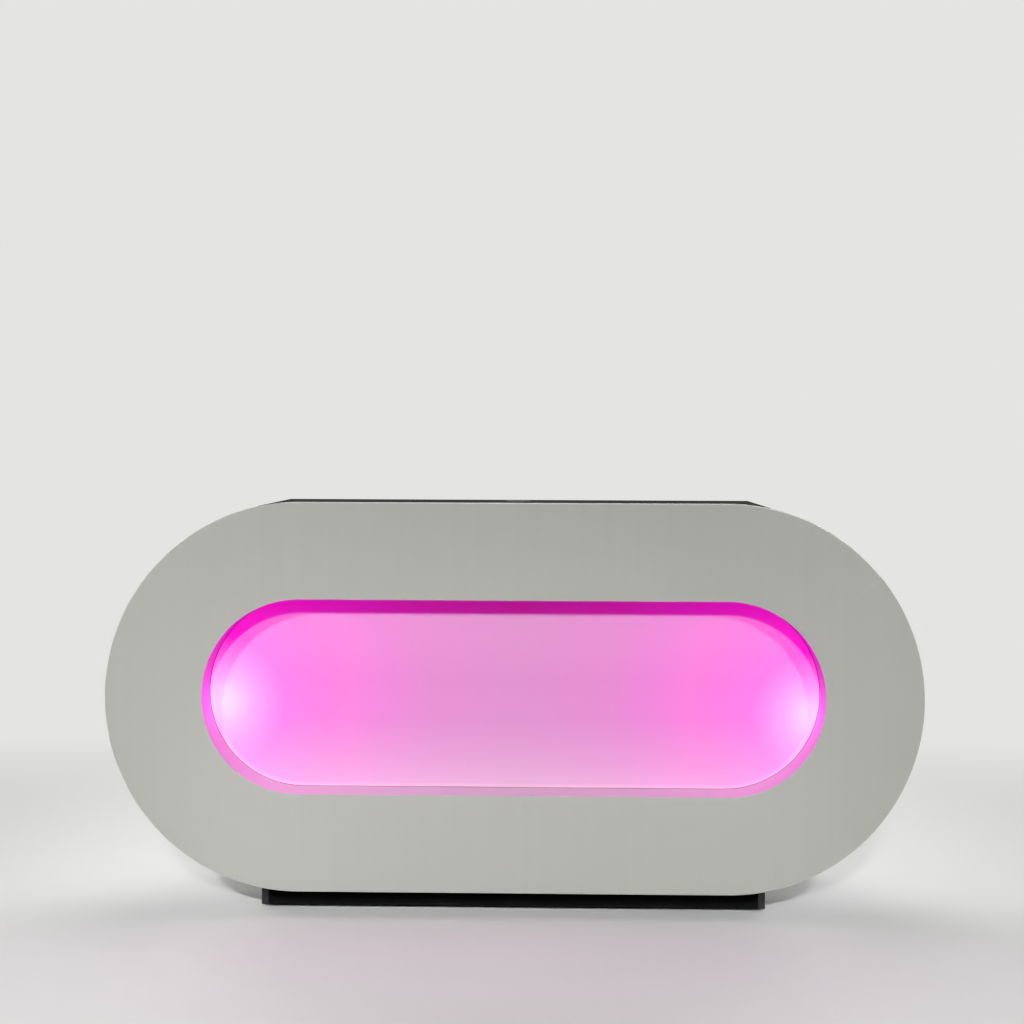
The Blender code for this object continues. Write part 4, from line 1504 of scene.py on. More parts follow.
@dataclass
class Facade:
    """The white pill front: the routed fascia, the wall of its recess, and the lit opal sheet.

    Attributes:
        tape: the thickness of the foam tape that the sheet is seated on.
        tape_width: how far the tape reaches out from the opening.
        tape_squeeze: how far it is squeezed out past the liner, where it shows as a dark line.
        screw_inset: how far in from the clamp's edge its screws lie.
    """

    shop: Workshop
    fascia_ease: float = 2.2 * MM
    liner_ease: float = 0.4 * MM
    tape: float = 1.8 * MM
    tape_width: float = 7.0 * MM
    tape_squeeze: float = 1.2 * MM
    ring_ease: float = 0.6 * MM
    screw_inset: float = 10.0 * MM
    screw_count: int = 28

    def __post_init__(self) -> None:
        """Reads the pill from the fascia's box."""
        self.pill = Pill.of_node("front_fascia")

    def build(self) -> None:
        """Builds every piece of the front."""
        self.build_fascia()
        self.build_recess()
        self.build_clamps()

    def build_fascia(self) -> None:
        """The fascia, with a painted highlight and worn lacquer on its rounded edges."""
        low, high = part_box("front_fascia")
        radius = (high.z - low.z) / 2
        shape = self.pill.ring(OPENING, radius, low.y, high.y)
        inner = [e for e in shape.edges if self.pill.reach(e.verts[0].co) < OPENING + WELD]
        ease_edges(shape, self.liner_ease, among=inner)
        outer = [e for e in shape.edges if self.pill.reach(e.verts[0].co) > radius - WELD]
        # The outer rounding takes the paler lacquer: a painted highlight, with chips.
        for face in ease_edges(shape, self.fascia_ease, segments=5, among=outer):
            face.material_index = 1
        for face in shape.faces:
            if self.pill.reach(face.calc_center_median()) < OPENING + self.liner_ease:
                face.material_index = 2
        finishes = [LACQUER, LACQUER_EDGE, LINER_LACQUER]
        self.shop.add("fascia_lacquered", shape, finishes, stands_for=["front_fascia"])

    def build_recess(self) -> None:
        """The liner, the tape at its rear edge and the opal sheet."""
        fascia_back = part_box("front_fascia")[1].y
        liner_low, liner_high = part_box("recess_liner")
        sheet_low, sheet_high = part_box("diffuser_panel")
        outer = (liner_high.z - liner_low.z) / 2
        liner_rear = liner_high.y - self.tape
        liner = self.pill.ring(OPENING, outer, fascia_back, liner_rear)
        ease_edges(liner, self.liner_ease)
        self.shop.add("liner_lacquered", liner, LINER_LACQUER, stands_for=["recess_liner"])
        tape = self.pill.ring(
            OPENING - self.tape_squeeze, OPENING + self.tape_width, liner_rear, liner_high.y
        )
        ease_edges(tape, self.liner_ease)
        self.shop.add("diffuser_tape", tape, FOAM_TAPE)
        sheet = self.pill.sheet((sheet_high.z - sheet_low.z) / 2, sheet_low.y, sheet_high.y)
        ease_edges(sheet, self.liner_ease)
        self.shop.add("diffuser_opal", sheet, OPAL, stands_for=["diffuser_panel"])

    def build_clamps(self) -> None:
        """The two plywood rings that the sheet is clamped between, and the clamp's screws."""
        for node in ("liner_flange", "diffuser_retainer"):
            self.shop.refine(node, PLY_ACROSS, width=self.ring_ease)
        low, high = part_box("diffuser_retainer")
        row = (high.z - low.z) / 2 - self.screw_inset
        places = self.pill.along(row, high.y, self.screw_count)
        self.shop.add("retainer_screws", screws(places, REARWARDS), ZINC)


@dataclass
class Drum:
    """The light drum behind the front: its bent rim, its back board and the ribs between them.

    Attributes:
        screw_inset: how far in from the rim the back board's screws lie.
        screw_count: how many places for them go round.
        panel_room: how far they keep off the desk's side panels.
    """

    shop: Workshop
    rim_ease: float = 1.2 * MM
    rib_ease: float = 0.6 * MM
    screw_inset: float = 5.0 * MM
    screw_count: int = 34
    screw_radius: float = 3.8 * MM
    panel_room: float = 9.0 * MM

    def __post_init__(self) -> None:
        """Reads the pill from the back board's box."""
        self.pill = Pill.of_node("drum_back")

    def build(self) -> None:
        """Builds every piece of the drum."""
        self.build_rim()
        self.build_back()
        for level in ("upper", "lower"):
            for side in Side:
                self.shop.refine(f"rib_{level}_{side.word}", PLY_ALONG, width=self.rib_ease)

    def build_rim(self) -> None:
        """The two halves of the rim, black outside and white inside, where they send the light on."""
        for side in Side:
            node = f"drum_band_{side.word}"
            low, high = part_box(node)
            seam = low.x if side is Side.RIGHT else -high.x
            outer = (high.z - low.z) / 2
            inner = outer - RIM
            shape = self.pill.half_band(side, seam, inner, outer, low.y, high.y)
            for face in shape.faces:
                within = self.pill.reach(face.calc_center_median()) < inner + RIM / 4
                face.material_index = int(within)
            for face in ease_edges(shape, self.rim_ease, segments=3):
                face.material_index = 2
            finishes = [BLACK_PAINT, CHAMBER_WHITE, PAINT_EDGE]
            self.shop.add(f"{node}_finished", shape, finishes, stands_for=[node])

    def build_back(self) -> None:
        """The back board and the screws round it, clear of the desk's side panels."""
        low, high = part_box("drum_back")
        self.shop.refine(
            "drum_back",
            [BLACK_PAINT, CHAMBER_WHITE, PAINT_EDGE],
            width=self.rim_ease,
            number=lambda face: int(face.normal.y < -FACING),
            worn=2,
        )
        panels = [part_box(f"side_panel_{side.word}") for side in Side]
        radius = (high.z - low.z) / 2 - self.screw_inset
        places = [
            point
            for point in self.pill.along(radius, high.y, self.screw_count)
            if not any(a.x - self.panel_room < point.x < b.x + self.panel_room for a, b in panels)
        ]
        self.shop.add("back_screws", screws(places, REARWARDS, self.screw_radius), ZINC)


@dataclass
class ServiceHatch:
    """A door in the back of the drum, on a knuckle hinge, with a turning latch.

    Attributes:
        leaf: how far a hinge leaf's face stands off the back board.
        screw_share: how far across the leaf its screws lie.
        pointer_rise: how far above the knob's middle the pointer lies.
    """

    shop: Workshop
    side: Side
    door_ease: float = 1.2 * MM
    hinge_ease: float = 0.25 * MM
    leaf: float = 1.8 * MM
    screw_count: int = 4
    screw_share: float = 0.62
    screw_radius: float = 3.4 * MM
    latch_ease: float = 0.9 * MM
    pointer_half: Vector = Vector((0.7 * MM, 0.15 * MM, 4.5 * MM))
    pointer_rise: float = 9.0 * MM
    pointer_ease: float = 0.1 * MM

    def build(self) -> None:
        """Builds every piece of the hatch."""
        word = self.side.word
        body = f"hatch_{word}"
        self.shop.refine(
            f"hatch_door_{word}",
            [BLACK_PAINT, CHAMBER_WHITE, PAINT_EDGE],
            body,
            width=self.door_ease,
            number=lambda face: int(face.normal.y < -FACING),
            worn=2,
        )
        self.shop.refine(f"hinge_frame_leaf_{word}", HINGE_STEEL, width=self.hinge_ease)
        self.shop.refine(f"hinge_door_leaf_{word}", HINGE_STEEL, body, width=self.hinge_ease)
        self.shop.refine(f"hinge_pin_{word}", ZINC, width=self.hinge_ease)
        self.build_hinge_screws()
        self.build_latch()

    def build_hinge_screws(self) -> None:
        """The screws through each leaf, in a row down its plate."""
        word = self.side.word
        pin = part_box(f"hinge_pin_{word}")
        hinge_x = (pin[0].x + pin[1].x) / 2
        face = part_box("drum_back")[1].y + self.leaf
        for leaf, body in (("frame", BOOTH), ("door", f"hatch_{word}")):
            low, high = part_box(f"hinge_{leaf}_leaf_{word}")
            outer = max(low.x, high.x, key=lambda x: abs(x - hinge_x))
            x = hinge_x + (outer - hinge_x) * self.screw_share
            pitch = (high.z - low.z) / self.screw_count
            places = [
                Vector((x, face, low.z + (i + 0.5) * pitch)) for i in range(self.screw_count)
            ]
            heads = screws(places, REARWARDS, self.screw_radius)
            self.shop.add(f"hinge_{leaf}_screws_{word}", heads, ZINC, body)

    def build_latch(self) -> None:
        """The wing knob with its shaft and cam, and a white pointer on the knob."""
        word = self.side.word
        body = f"latch_{word}"
        node = f"hatch_latch_{word}"
        self.shop.refine(node, BLACK_PLASTIC, body, width=self.latch_ease)
        low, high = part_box(node)
        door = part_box(f"hatch_door_{word}")
        knob_z = (door[0].z + door[1].z) / 2
        tip = Vector(((low.x + high.x) / 2, high.y, knob_z + self.pointer_rise))
        pointer = eased_box(tip - self.pointer_half, tip + self.pointer_half, self.pointer_ease)
        self.shop.add(f"latch_pointer_{word}", pointer, MARK_WHITE, body)


@dataclass
class ColourLamp:
    """A finned colour lamp panning in its yoke, with the lead that feeds it.

    Attributes:
        dome: an optic's radius.
        dome_arc: how many degrees lie between its rings.
        plate_share: how much of the optics' depth is the plate under them.
        gland: the gland's outline, as radii and heights below the lamp's lower bolt.
        gap: how far the gland and the saddles keep off what they sit on.
        saddle_places: how far from the middle the clips over the lead are.
        saddle_plate: the thickness of a clip's foot.
        hump: half the length of the clip's hump.
        hump_wall: the thickness of the hump round the lead.
    """

    shop: Workshop
    side: Side
    metal_ease: float = 0.5 * MM
    rows: int = 8
    columns: int = 3
    dome: float = 7.5 * MM
    dome_steps: int = 20
    dome_arc: int = 18
    plate_share: float = 0.55
    plate_ease: float = 0.3 * MM
    lead_radius: float = 4.0 * MM
    gland: Profile = (
        (0.0, 0.0), (7.0 * MM, 0.0), (7.0 * MM, -7.0 * MM), (4.9 * MM, -20.0 * MM),
        (0.0, -20.0 * MM),
    )
    gland_steps: int = 24
    gland_ease: float = 0.4 * MM
    gap: float = 0.2 * MM
    saddle_places: tuple[float, ...] = (0.17, 0.30, 0.46)
    saddle_half: Vector = Vector((6.0 * MM, 9.0 * MM, 0.0))
    saddle_plate: float = 1.6 * MM
    saddle_ease: float = 0.5 * MM
    hump: float = 5.0 * MM
    hump_wall: float = 1.5 * MM
    hump_ease: float = 2.2 * MM

    def build(self) -> None:
        """Builds every piece of the lamp."""
        word = self.side.word
        body = f"lamp_{word}"
        self.shop.refine(f"lamp_head_{word}", POWDER_COAT, body, width=self.metal_ease)
        self.shop.refine(f"lamp_yoke_{word}", ZINC, width=self.metal_ease)
        for level in ("lower", "upper"):
            self.shop.refine(f"lamp_bolt_{level}_{word}", ZINC, width=self.metal_ease)
        self.build_lens(body)
        self.build_lead()
        self.build_saddles()

    def build_lens(self, body: str) -> None:
        """The optic plate: a sheet with a dome over each diode.

        Args:
            body: the lamp's body.
        """
        node = f"lamp_lens_{self.side.word}"
        low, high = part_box(node)
        sign = self.side.value
        front, rear = (low.x, high.x) if sign > 0 else (high.x, low.x)
        face = rear + (front - rear) * self.plate_share
        near, far = sorted((rear, face))
        plate_low = Vector((near, low.y, low.z))
        plate_high = Vector((far, high.y, high.z))
        shapes = [eased_box(plate_low, plate_high, self.plate_ease)]
        rise = abs(front - face)
        arc = [math.radians(angle) for angle in range(0, 90, self.dome_arc)]
        crown = [(self.dome * math.cos(angle), rise * math.sin(angle)) for angle in arc]
        outline = [(0.0, 0.0), *crown, (0.0, rise)]
        inwards = Vector((-sign, 0.0, 0.0))
        for row in range(self.rows):
            for column in range(self.columns):
                y = low.y + (column + 0.5) * (high.y - low.y) / self.columns
                z = low.z + (row + 0.5) * (high.z - low.z) / self.rows
                optic = turned(outline, self.dome_steps)
                shapes.append(moved(optic, Vector((face, y, z)), inwards))
        self.shop.add(f"{node}_optics", gathered(shapes), LENS, body, [node])

    def build_lead(self) -> None:
        """The lead, smoothed, with a gland under the lamp's lower bolt."""
        word = self.side.word
        lead = self.shop.refine(f"lamp_cable_{word}", SHEATH, width=0.0)
        smooth = lead.modifiers.new("round", "SUBSURF")
        smooth.levels = 1
        smooth.render_levels = 1
        low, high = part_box(f"lamp_bolt_lower_{word}")
        middle = (low + high) / 2
        gland = turned(self.gland, self.gland_steps, self.gland_ease)
        seat = Vector((middle.x, middle.y, low.z - self.gap))
        self.shop.add(f"lamp_gland_{word}", moved(gland, seat), BLACK_PLASTIC)

    def build_saddles(self) -> None:
        """The clips that hold the lead to the floor of the drum."""
        word = self.side.word
        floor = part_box(f"drum_band_{word}")[0].z + RIM
        low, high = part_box(f"lamp_cable_{word}")
        half = self.saddle_half
        hump = Vector((self.hump, self.lead_radius + self.hump_wall, 0.0))
        clips = []
        for away in self.saddle_places:
            foot = Vector((self.side.value * away, high.y - self.lead_radius, floor + self.gap))
            plate = self.saddle_plate * UP
            clips.append(eased_box(foot - half, foot + half + plate, self.saddle_ease))
            top = (low.z + 2 * self.lead_radius + self.hump_wall - foot.z) * UP
            clips.append(eased_box(foot - hump, foot + hump + top, self.hump_ease, segments=4))
        self.shop.add(f"lead_saddles_{word}", gathered(clips), BLACK_PLASTIC)


@dataclass
class Supply:
    """The driver inside the drum, and the panel behind it with the inlet, switch and buttons.

    Attributes:
        screw_inset: how far in from the panel's corners its screws lie.
        button_crown: a button's dished top, as shares of its radius and depths below its highest.
        button_gap: how far a button's lip keeps off the panel.
        stroke_rise: how far above a button its strokes are.
        socket_aside: how far the inlet's socket lies from the middle of the module.
        contacts: the places of the socket's contacts, along X and Z.
        contact_foot: how deep a contact starts.
        contact_tip: how deep it ends.
    """

    shop: Workshop
    driver_ease: float = 1.5 * MM
    panel_ease: float = 0.6 * MM
    inlet_ease: float = 0.5 * MM
    rocker_ease: float = 0.4 * MM
    screw_inset: float = 6.0 * MM
    screw_radius: float = 3.2 * MM
    button_radius: float = 4.5 * MM
    button_crown: Profile = (
        (0.00, 0.5 * MM), (0.55, 0.3 * MM), (0.82, 0.0), (0.94, 0.1 * MM),
        (1.00, 0.6 * MM),
    )
    button_gap: float = 0.3 * MM
    button_lip: float = 1.5 * MM
    button_stem: float = 3.0 * MM
    button_steps: int = 40
    stroke_half: Vector = Vector((0.6 * MM, 0.12 * MM, 2.2 * MM))
    stroke_pitch: float = 2.4 * MM
    stroke_rise: float = 11.0 * MM
    stroke_ease: float = 0.08 * MM
    socket_aside: float = -11.0 * MM
    contacts: Profile = ((-6.0 * MM, -2.0 * MM), (0.0, 2.0 * MM), (6.0 * MM, -2.0 * MM))
    contact_half: Vector = Vector((1.0 * MM, 0.0, 2.0 * MM))
    contact_foot: float = 12.0 * MM
    contact_tip: float = 2.0 * MM
    contact_ease: float = 0.3 * MM

    def build(self) -> None:
        """Builds every piece of the supply."""
        self.shop.refine("led_driver", POWDER_COAT, width=self.driver_ease)
        self.shop.refine("power_panel", BLACK_PLASTIC, width=self.panel_ease)
        self.shop.refine("inlet_module", BLACK_PLASTIC, width=self.inlet_ease)
        self.shop.refine("rocker_switch", BLACK_PLASTIC, "rocker", width=self.rocker_ease)
        for marks, word in enumerate(("colour", "level", "mode"), 1):
            self.build_button(word, marks)
        self.build_panel_screws()
        self.build_contacts()

    def build_button(self, word: str, marks: int) -> None:
        """A dished push button, and the strokes printed above it.

        Args:
            word: the button's name.
            marks: how many strokes tell it from the others.
        """
        node = f"button_{word}"
        low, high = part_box(node)
        panel_back, panel_face = (corner.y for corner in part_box("power_panel"))
        rim = panel_back - self.button_gap
        lip = (high.x - low.x) / 2
        outline = [
            *((self.button_radius * share, high.y - depth) for share, depth in self.button_crown),
            (self.button_radius, rim),
            (lip, rim),
            (lip, rim - self.button_lip),
            (self.button_stem, rim - self.button_lip),
            (self.button_stem, low.y),
            (0.0, low.y),
        ]
        seat = Vector(((low.x + high.x) / 2, 0.0, (low.z + high.z) / 2))
        shape = moved(turned(outline, self.button_steps), seat, REARWARDS)
        self.shop.add(f"{node}_turned", shape, GREY_PLASTIC, f"{word}_button", [node])
        half = self.stroke_half
        strokes = []
        for stroke in range(marks):
            x = seat.x + (stroke - (marks - 1) / 2) * self.stroke_pitch
            centre = Vector((x, panel_face, seat.z + self.stroke_rise))
            strokes.append(eased_box(centre - half, centre + half, self.stroke_ease))
        self.shop.add(f"{word}_strokes", gathered(strokes), MARK_WHITE)

    def build_panel_screws(self) -> None:
        """The four screws at the panel's corners."""
        low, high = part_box("power_panel")
        places = [
            Vector((x, high.y, z))
            for x in (low.x + self.screw_inset, high.x - self.screw_inset)
            for z in (low.z + self.screw_inset, high.z - self.screw_inset)
        ]
        self.shop.add("panel_screws", screws(places, REARWARDS, self.screw_radius), ZINC)

    def build_contacts(self) -> None:
        """The inlet's three flat contacts."""
        low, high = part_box("inlet_module")
        socket = Vector(((low.x + high.x) / 2 + self.socket_aside, high.y, (low.z + high.z) / 2))
        foot = self.contact_half + self.contact_foot * REARWARDS
        tip = self.contact_half - self.contact_tip * REARWARDS
        blades = []
        for x, z in self.contacts:
            centre = socket + Vector((x, 0.0, z))
            blades.append(eased_box(centre - foot, centre + tip, self.contact_ease))
        self.shop.add("inlet_contacts", gathered(blades), NICKEL)


@dataclass
class Grommet:
    """The cable pass-through in the top: a turned ring with a groove round it, and its slotted cap.

    Attributes:
        gap: the play between the cap and the ring.
        lip: the thickness of the ring's lip.
        wall: the thickness of its sleeve.
        ledge: the width of the ledge that the cap sits on.
        groove: the groove's outline, as distances from the bore and depths.
        steps: how many faces go round.
    """

    shop: Workshop
    cap_ease: float = 0.6 * MM
    gap: float = 0.3 * MM
    rim_ease: float = 0.8 * MM
    bore_ease: float = 0.5 * MM
    lip: float = 2.5 * MM
    wall: float = 2.5 * MM
    ledge: float = 4.0 * MM
    groove: Profile = ((3.6 * MM, 0.0), (4.0 * MM, 0.6 * MM), (4.8 * MM, 0.6 * MM), (5.2 * MM, 0.0))
    steps: int = 72

    def build(self) -> None:
        """Builds the cap and the ring."""
        self.shop.refine("grommet_cap", BLACK_PLASTIC, "cable_cap", width=self.cap_ease)
        low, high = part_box("grommet_ring")
        cap_low, cap_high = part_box("grommet_cap")
        rim = (high.x - low.x) / 2
        bore = (cap_high.x - cap_low.x) / 2 + self.gap
        sleeve, hole = bore + self.wall, bore - self.ledge
        seat = cap_low.z - self.gap
        outline = [
            (rim - self.rim_ease, high.z),
            (rim, high.z - self.rim_ease),
            (rim, high.z - self.lip),
            (sleeve, high.z - self.lip),
            (sleeve, low.z),
            (hole, low.z),
            (hole, seat),
            (bore, seat),
            (bore, high.z - self.bore_ease),
            (bore + self.bore_ease, high.z),
            *((bore + away, high.z - depth) for away, depth in self.groove),
            (rim - self.rim_ease, high.z),
        ]
        middle = (low + high) / 2
        ring = moved(turned(outline, self.steps), Vector((middle.x, middle.y, 0.0)))
        self.shop.add("grommet_ring_turned", ring, BLACK_PLASTIC, stands_for=["grommet_ring"])


@dataclass
class Desk:
    """The black desk behind the drum: top, sides, base, plinth boards and shelf.

    Attributes:
        cap_radius: the radius of the covers over the sides' fixings.
        cap_rise: how far they stand out.
        cap_shares: where they sit, as shares of the shelf's depth.
        bracket_leg: the length of each leg of the steel angles.
        bracket_bend: how far from the corner the bend starts.
        bracket_shares: where the angles sit, as shares of the shelf's depth.
        screw_share: how far along a leg its screws are.
    """

    shop: Workshop
    cleat_ease: float = 1.0 * MM
    cap_radius: float = 6.5 * MM
    cap_rise: float = 0.9 * MM
    cap_ease: float = 0.3 * MM
    cap_steps: int = 28
    cap_shares: tuple[float, ...] = (0.15, 0.5, 0.85)
    bracket_leg: float = 34.0 * MM
    bracket_width: float = 26.0 * MM
    bracket_thickness: float = 2.0 * MM
    bracket_bend: float = 5.0 * MM
    bracket_steps: int = 6
    bracket_ease: float = 0.4 * MM
    bracket_shares: tuple[float, ...] = (0.2, 0.8)
    screw_share: float = 0.6
    screw_radius: float = 3.4 * MM

    def build(self) -> None:
        """Builds every piece of the desk."""
        faces = [LAMINATE, BANDING]
        self.shop.board("worktop", [TOP_LAMINATE, BANDING], Axis.Z)
        for node in ("base_board", "shelf"):
            self.shop.board(node, faces, Axis.Z)
        # The plinth boards are darker: painted shade under the front.
        for node in ("plinth_front", "plinth_rear"):
            self.shop.board(node, [SHADED_KICK_LAMINATE, BANDING], Axis.Y)
        for side in Side:
            self.shop.board(f"side_panel_{side.word}", faces, Axis.X)
            self.shop.refine(f"shelf_cleat_{side.word}", LAMINATE, width=self.cleat_ease)
        Grommet(self.shop).build()
        self.build_brackets()
        self.build_covers()

    def at_depths(self, shares: Iterable[float]) -> list[float]:
        """Places along Y, from shares of the shelf's depth."""
        low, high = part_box("shelf")
        return [low.y + share * (high.y - low.y) for share in shares]

    def bracket(self, corner: Vector, along: Vector, across: Vector) -> BMesh:
        """A bent steel angle with two screws in each leg.

        Args:
            corner: the corner that it sits in.
            along: the way that its first leg runs.
            across: the way that its second leg runs.

        Returns:
            The angle and its screws.
        """
        half = REARWARDS * self.bracket_width / 2
        skin = across * self.bracket_thickness
        end = corner + along * self.bracket_leg
        bend = corner + (along + across) * self.bracket_bend
        strip = Sweep([end - half, end + half, end + half + skin, end - half + skin])
        strip.run(along * (self.bracket_bend - self.bracket_leg))
        strip.turn(bend, across.cross(along), math.pi / 2, self.bracket_steps)
        strip.run(across * (self.bracket_leg - self.bracket_bend))
        angle = strip.capped()
        ease_edges(angle, self.bracket_ease)
        shapes = [angle]
        for leg, facing in ((along, across), (across, along)):
            hole = corner + leg * self.bracket_leg * self.screw_share
            hole += facing * self.bracket_thickness
            pair = [hole - half / 2, hole + half / 2]
            shapes.append(screws(pair, facing, self.screw_radius))
        return gathered(shapes)

    def build_brackets(self) -> None:
        """The steel angles that tie each side panel to the top and to the base."""
        top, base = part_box("worktop")[0].z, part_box("base_board")[1].z
        for side in Side:
            low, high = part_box(f"side_panel_{side.word}")
            wall = low.x if side is Side.RIGHT else high.x
            inwards = Vector((-side.value, 0.0, 0.0))
            shapes = [
                self.bracket(Vector((wall, y, z)), inwards, upright)
                for z, upright in ((top, -UP), (base, UP))
                for y in self.at_depths(self.bracket_shares)
            ]
            self.shop.add(f"corner_angles_{side.word}", gathered(shapes), ZINC)

    def build_covers(self) -> None:
        """The round covers over the fixings, on the outside of each side panel."""
        boards = [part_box(node) for node in ("base_board", "shelf")]
        heights = [(low.z + high.z) / 2 for low, high in boards]
        radius, rise = self.cap_radius, self.cap_rise
        outline = [(0.0, 0.0), (radius, 0.0), (radius, rise), (0.0, rise)]
        for side in Side:
            low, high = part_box(f"side_panel_{side.word}")
            face = high.x if side is Side.RIGHT else low.x
            outwards = Vector((side.value, 0.0, 0.0))
            shapes = [
                moved(turned(outline, self.cap_steps, self.cap_ease), Vector((face, y, z)), outwards)
                for z in heights
                for y in self.at_depths(self.cap_shares)
            ]
            self.shop.add(f"fixing_covers_{side.word}", gathered(shapes), BLACK_PLASTIC)


@dataclass
class LevellingLeg:
    """A socket under the base board and the screwed foot in it.

    Attributes:
        stem: the radius of the foot's screw.
        thread: the pitch of its thread, which is drawn as rings.
        crest_from: where a ring's crest starts, as a share of the pitch.
        crest_to: where it ends.
        pad: the height of the foot's pad.
        pad_slope: the height of the slope at its upper edge.
        pad_shoulder: the slope's width.
        plate: the thickness of the socket's plate.
        gap: the play between the screw and the socket.
    """

    shop: Workshop
    row: Row
    side: Side
    stem: float = 11.0 * MM
    thread: float = 3.0 * MM
    thread_depth: float = 0.8 * MM
    crest_from: float = 0.35
    crest_to: float = 0.65
    foot_steps: int = 40
    pad: float = 10.0 * MM
    pad_ease: float = 1.5 * MM
    pad_slope: float = 3.5 * MM
    pad_shoulder: float = 2.5 * MM
    barrel: float = 19.0 * MM
    plate: float = 4.0 * MM
    gap: float = 0.3 * MM
    socket_ease: float = 0.7 * MM
    socket_steps: int = 48

    def build(self) -> None:
        """Builds both pieces of the leg."""
        name = f"{self.row.value}_{self.side.word}"
        self.build_foot(f"leg_foot_{name}", f"foot_{name}")
        self.build_socket(f"leg_socket_{name}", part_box(f"leg_foot_{name}")[1].z)

    def build_foot(self, node: str, body: str) -> None:
        """The pad with its screw, whose thread is ringed.

        Args:
            node: the foot's CAD node.
            body: its body.
        """
        low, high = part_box(node)
        middle = (low + high) / 2
        wide, root = (high.x - low.x) / 2, self.stem - self.thread_depth
        pad_top = low.z + self.pad
        outline = [
            (0.0, low.z),
            (wide - self.pad_ease, low.z),
            (wide, low.z + self.pad_ease),
            (wide, pad_top - self.pad_slope),
            (wide - self.pad_shoulder, pad_top),
            (root, pad_top),
        ]
        for i in range(int((high.z - pad_top) / self.thread)):
            start = pad_top + i * self.thread
            outline += [
                (self.stem, start + self.crest_from * self.thread),
                (self.stem, start + self.crest_to * self.thread),
                (root, start + self.thread),
            ]
        outline += [(root, high.z), (0.0, high.z)]
        shape = moved(turned(outline, self.foot_steps), Vector((middle.x, middle.y, 0.0)))
        self.shop.add(f"{node}_turned", shape, BLACK_PLASTIC, body, [node])

    def build_socket(self, node: str, screw_top: float) -> None:
        """The plated socket that the screw turns in, bored to just above its top.

        Args:
            node: the socket's CAD node.
            screw_top: the height of the screw's top.
        """
        low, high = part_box(node)
        middle = (low + high) / 2
        wide = (high.x - low.x) / 2
        bore, ceiling = self.stem + self.gap, screw_top + self.gap
        outline = [
            (0.0, high.z),
            (wide, high.z),
            (wide, high.z - self.plate),
            (self.barrel, high.z - self.plate),
            (self.barrel, low.z),
            (bore, low.z),
            (bore, ceiling),
            (0.0, ceiling),
        ]
        shape = turned(outline, self.socket_steps, self.socket_ease)
        placed = moved(shape, Vector((middle.x, middle.y, 0.0)))
        self.shop.add(f"{node}_turned", placed, BLACK_PLASTIC, stands_for=[node])


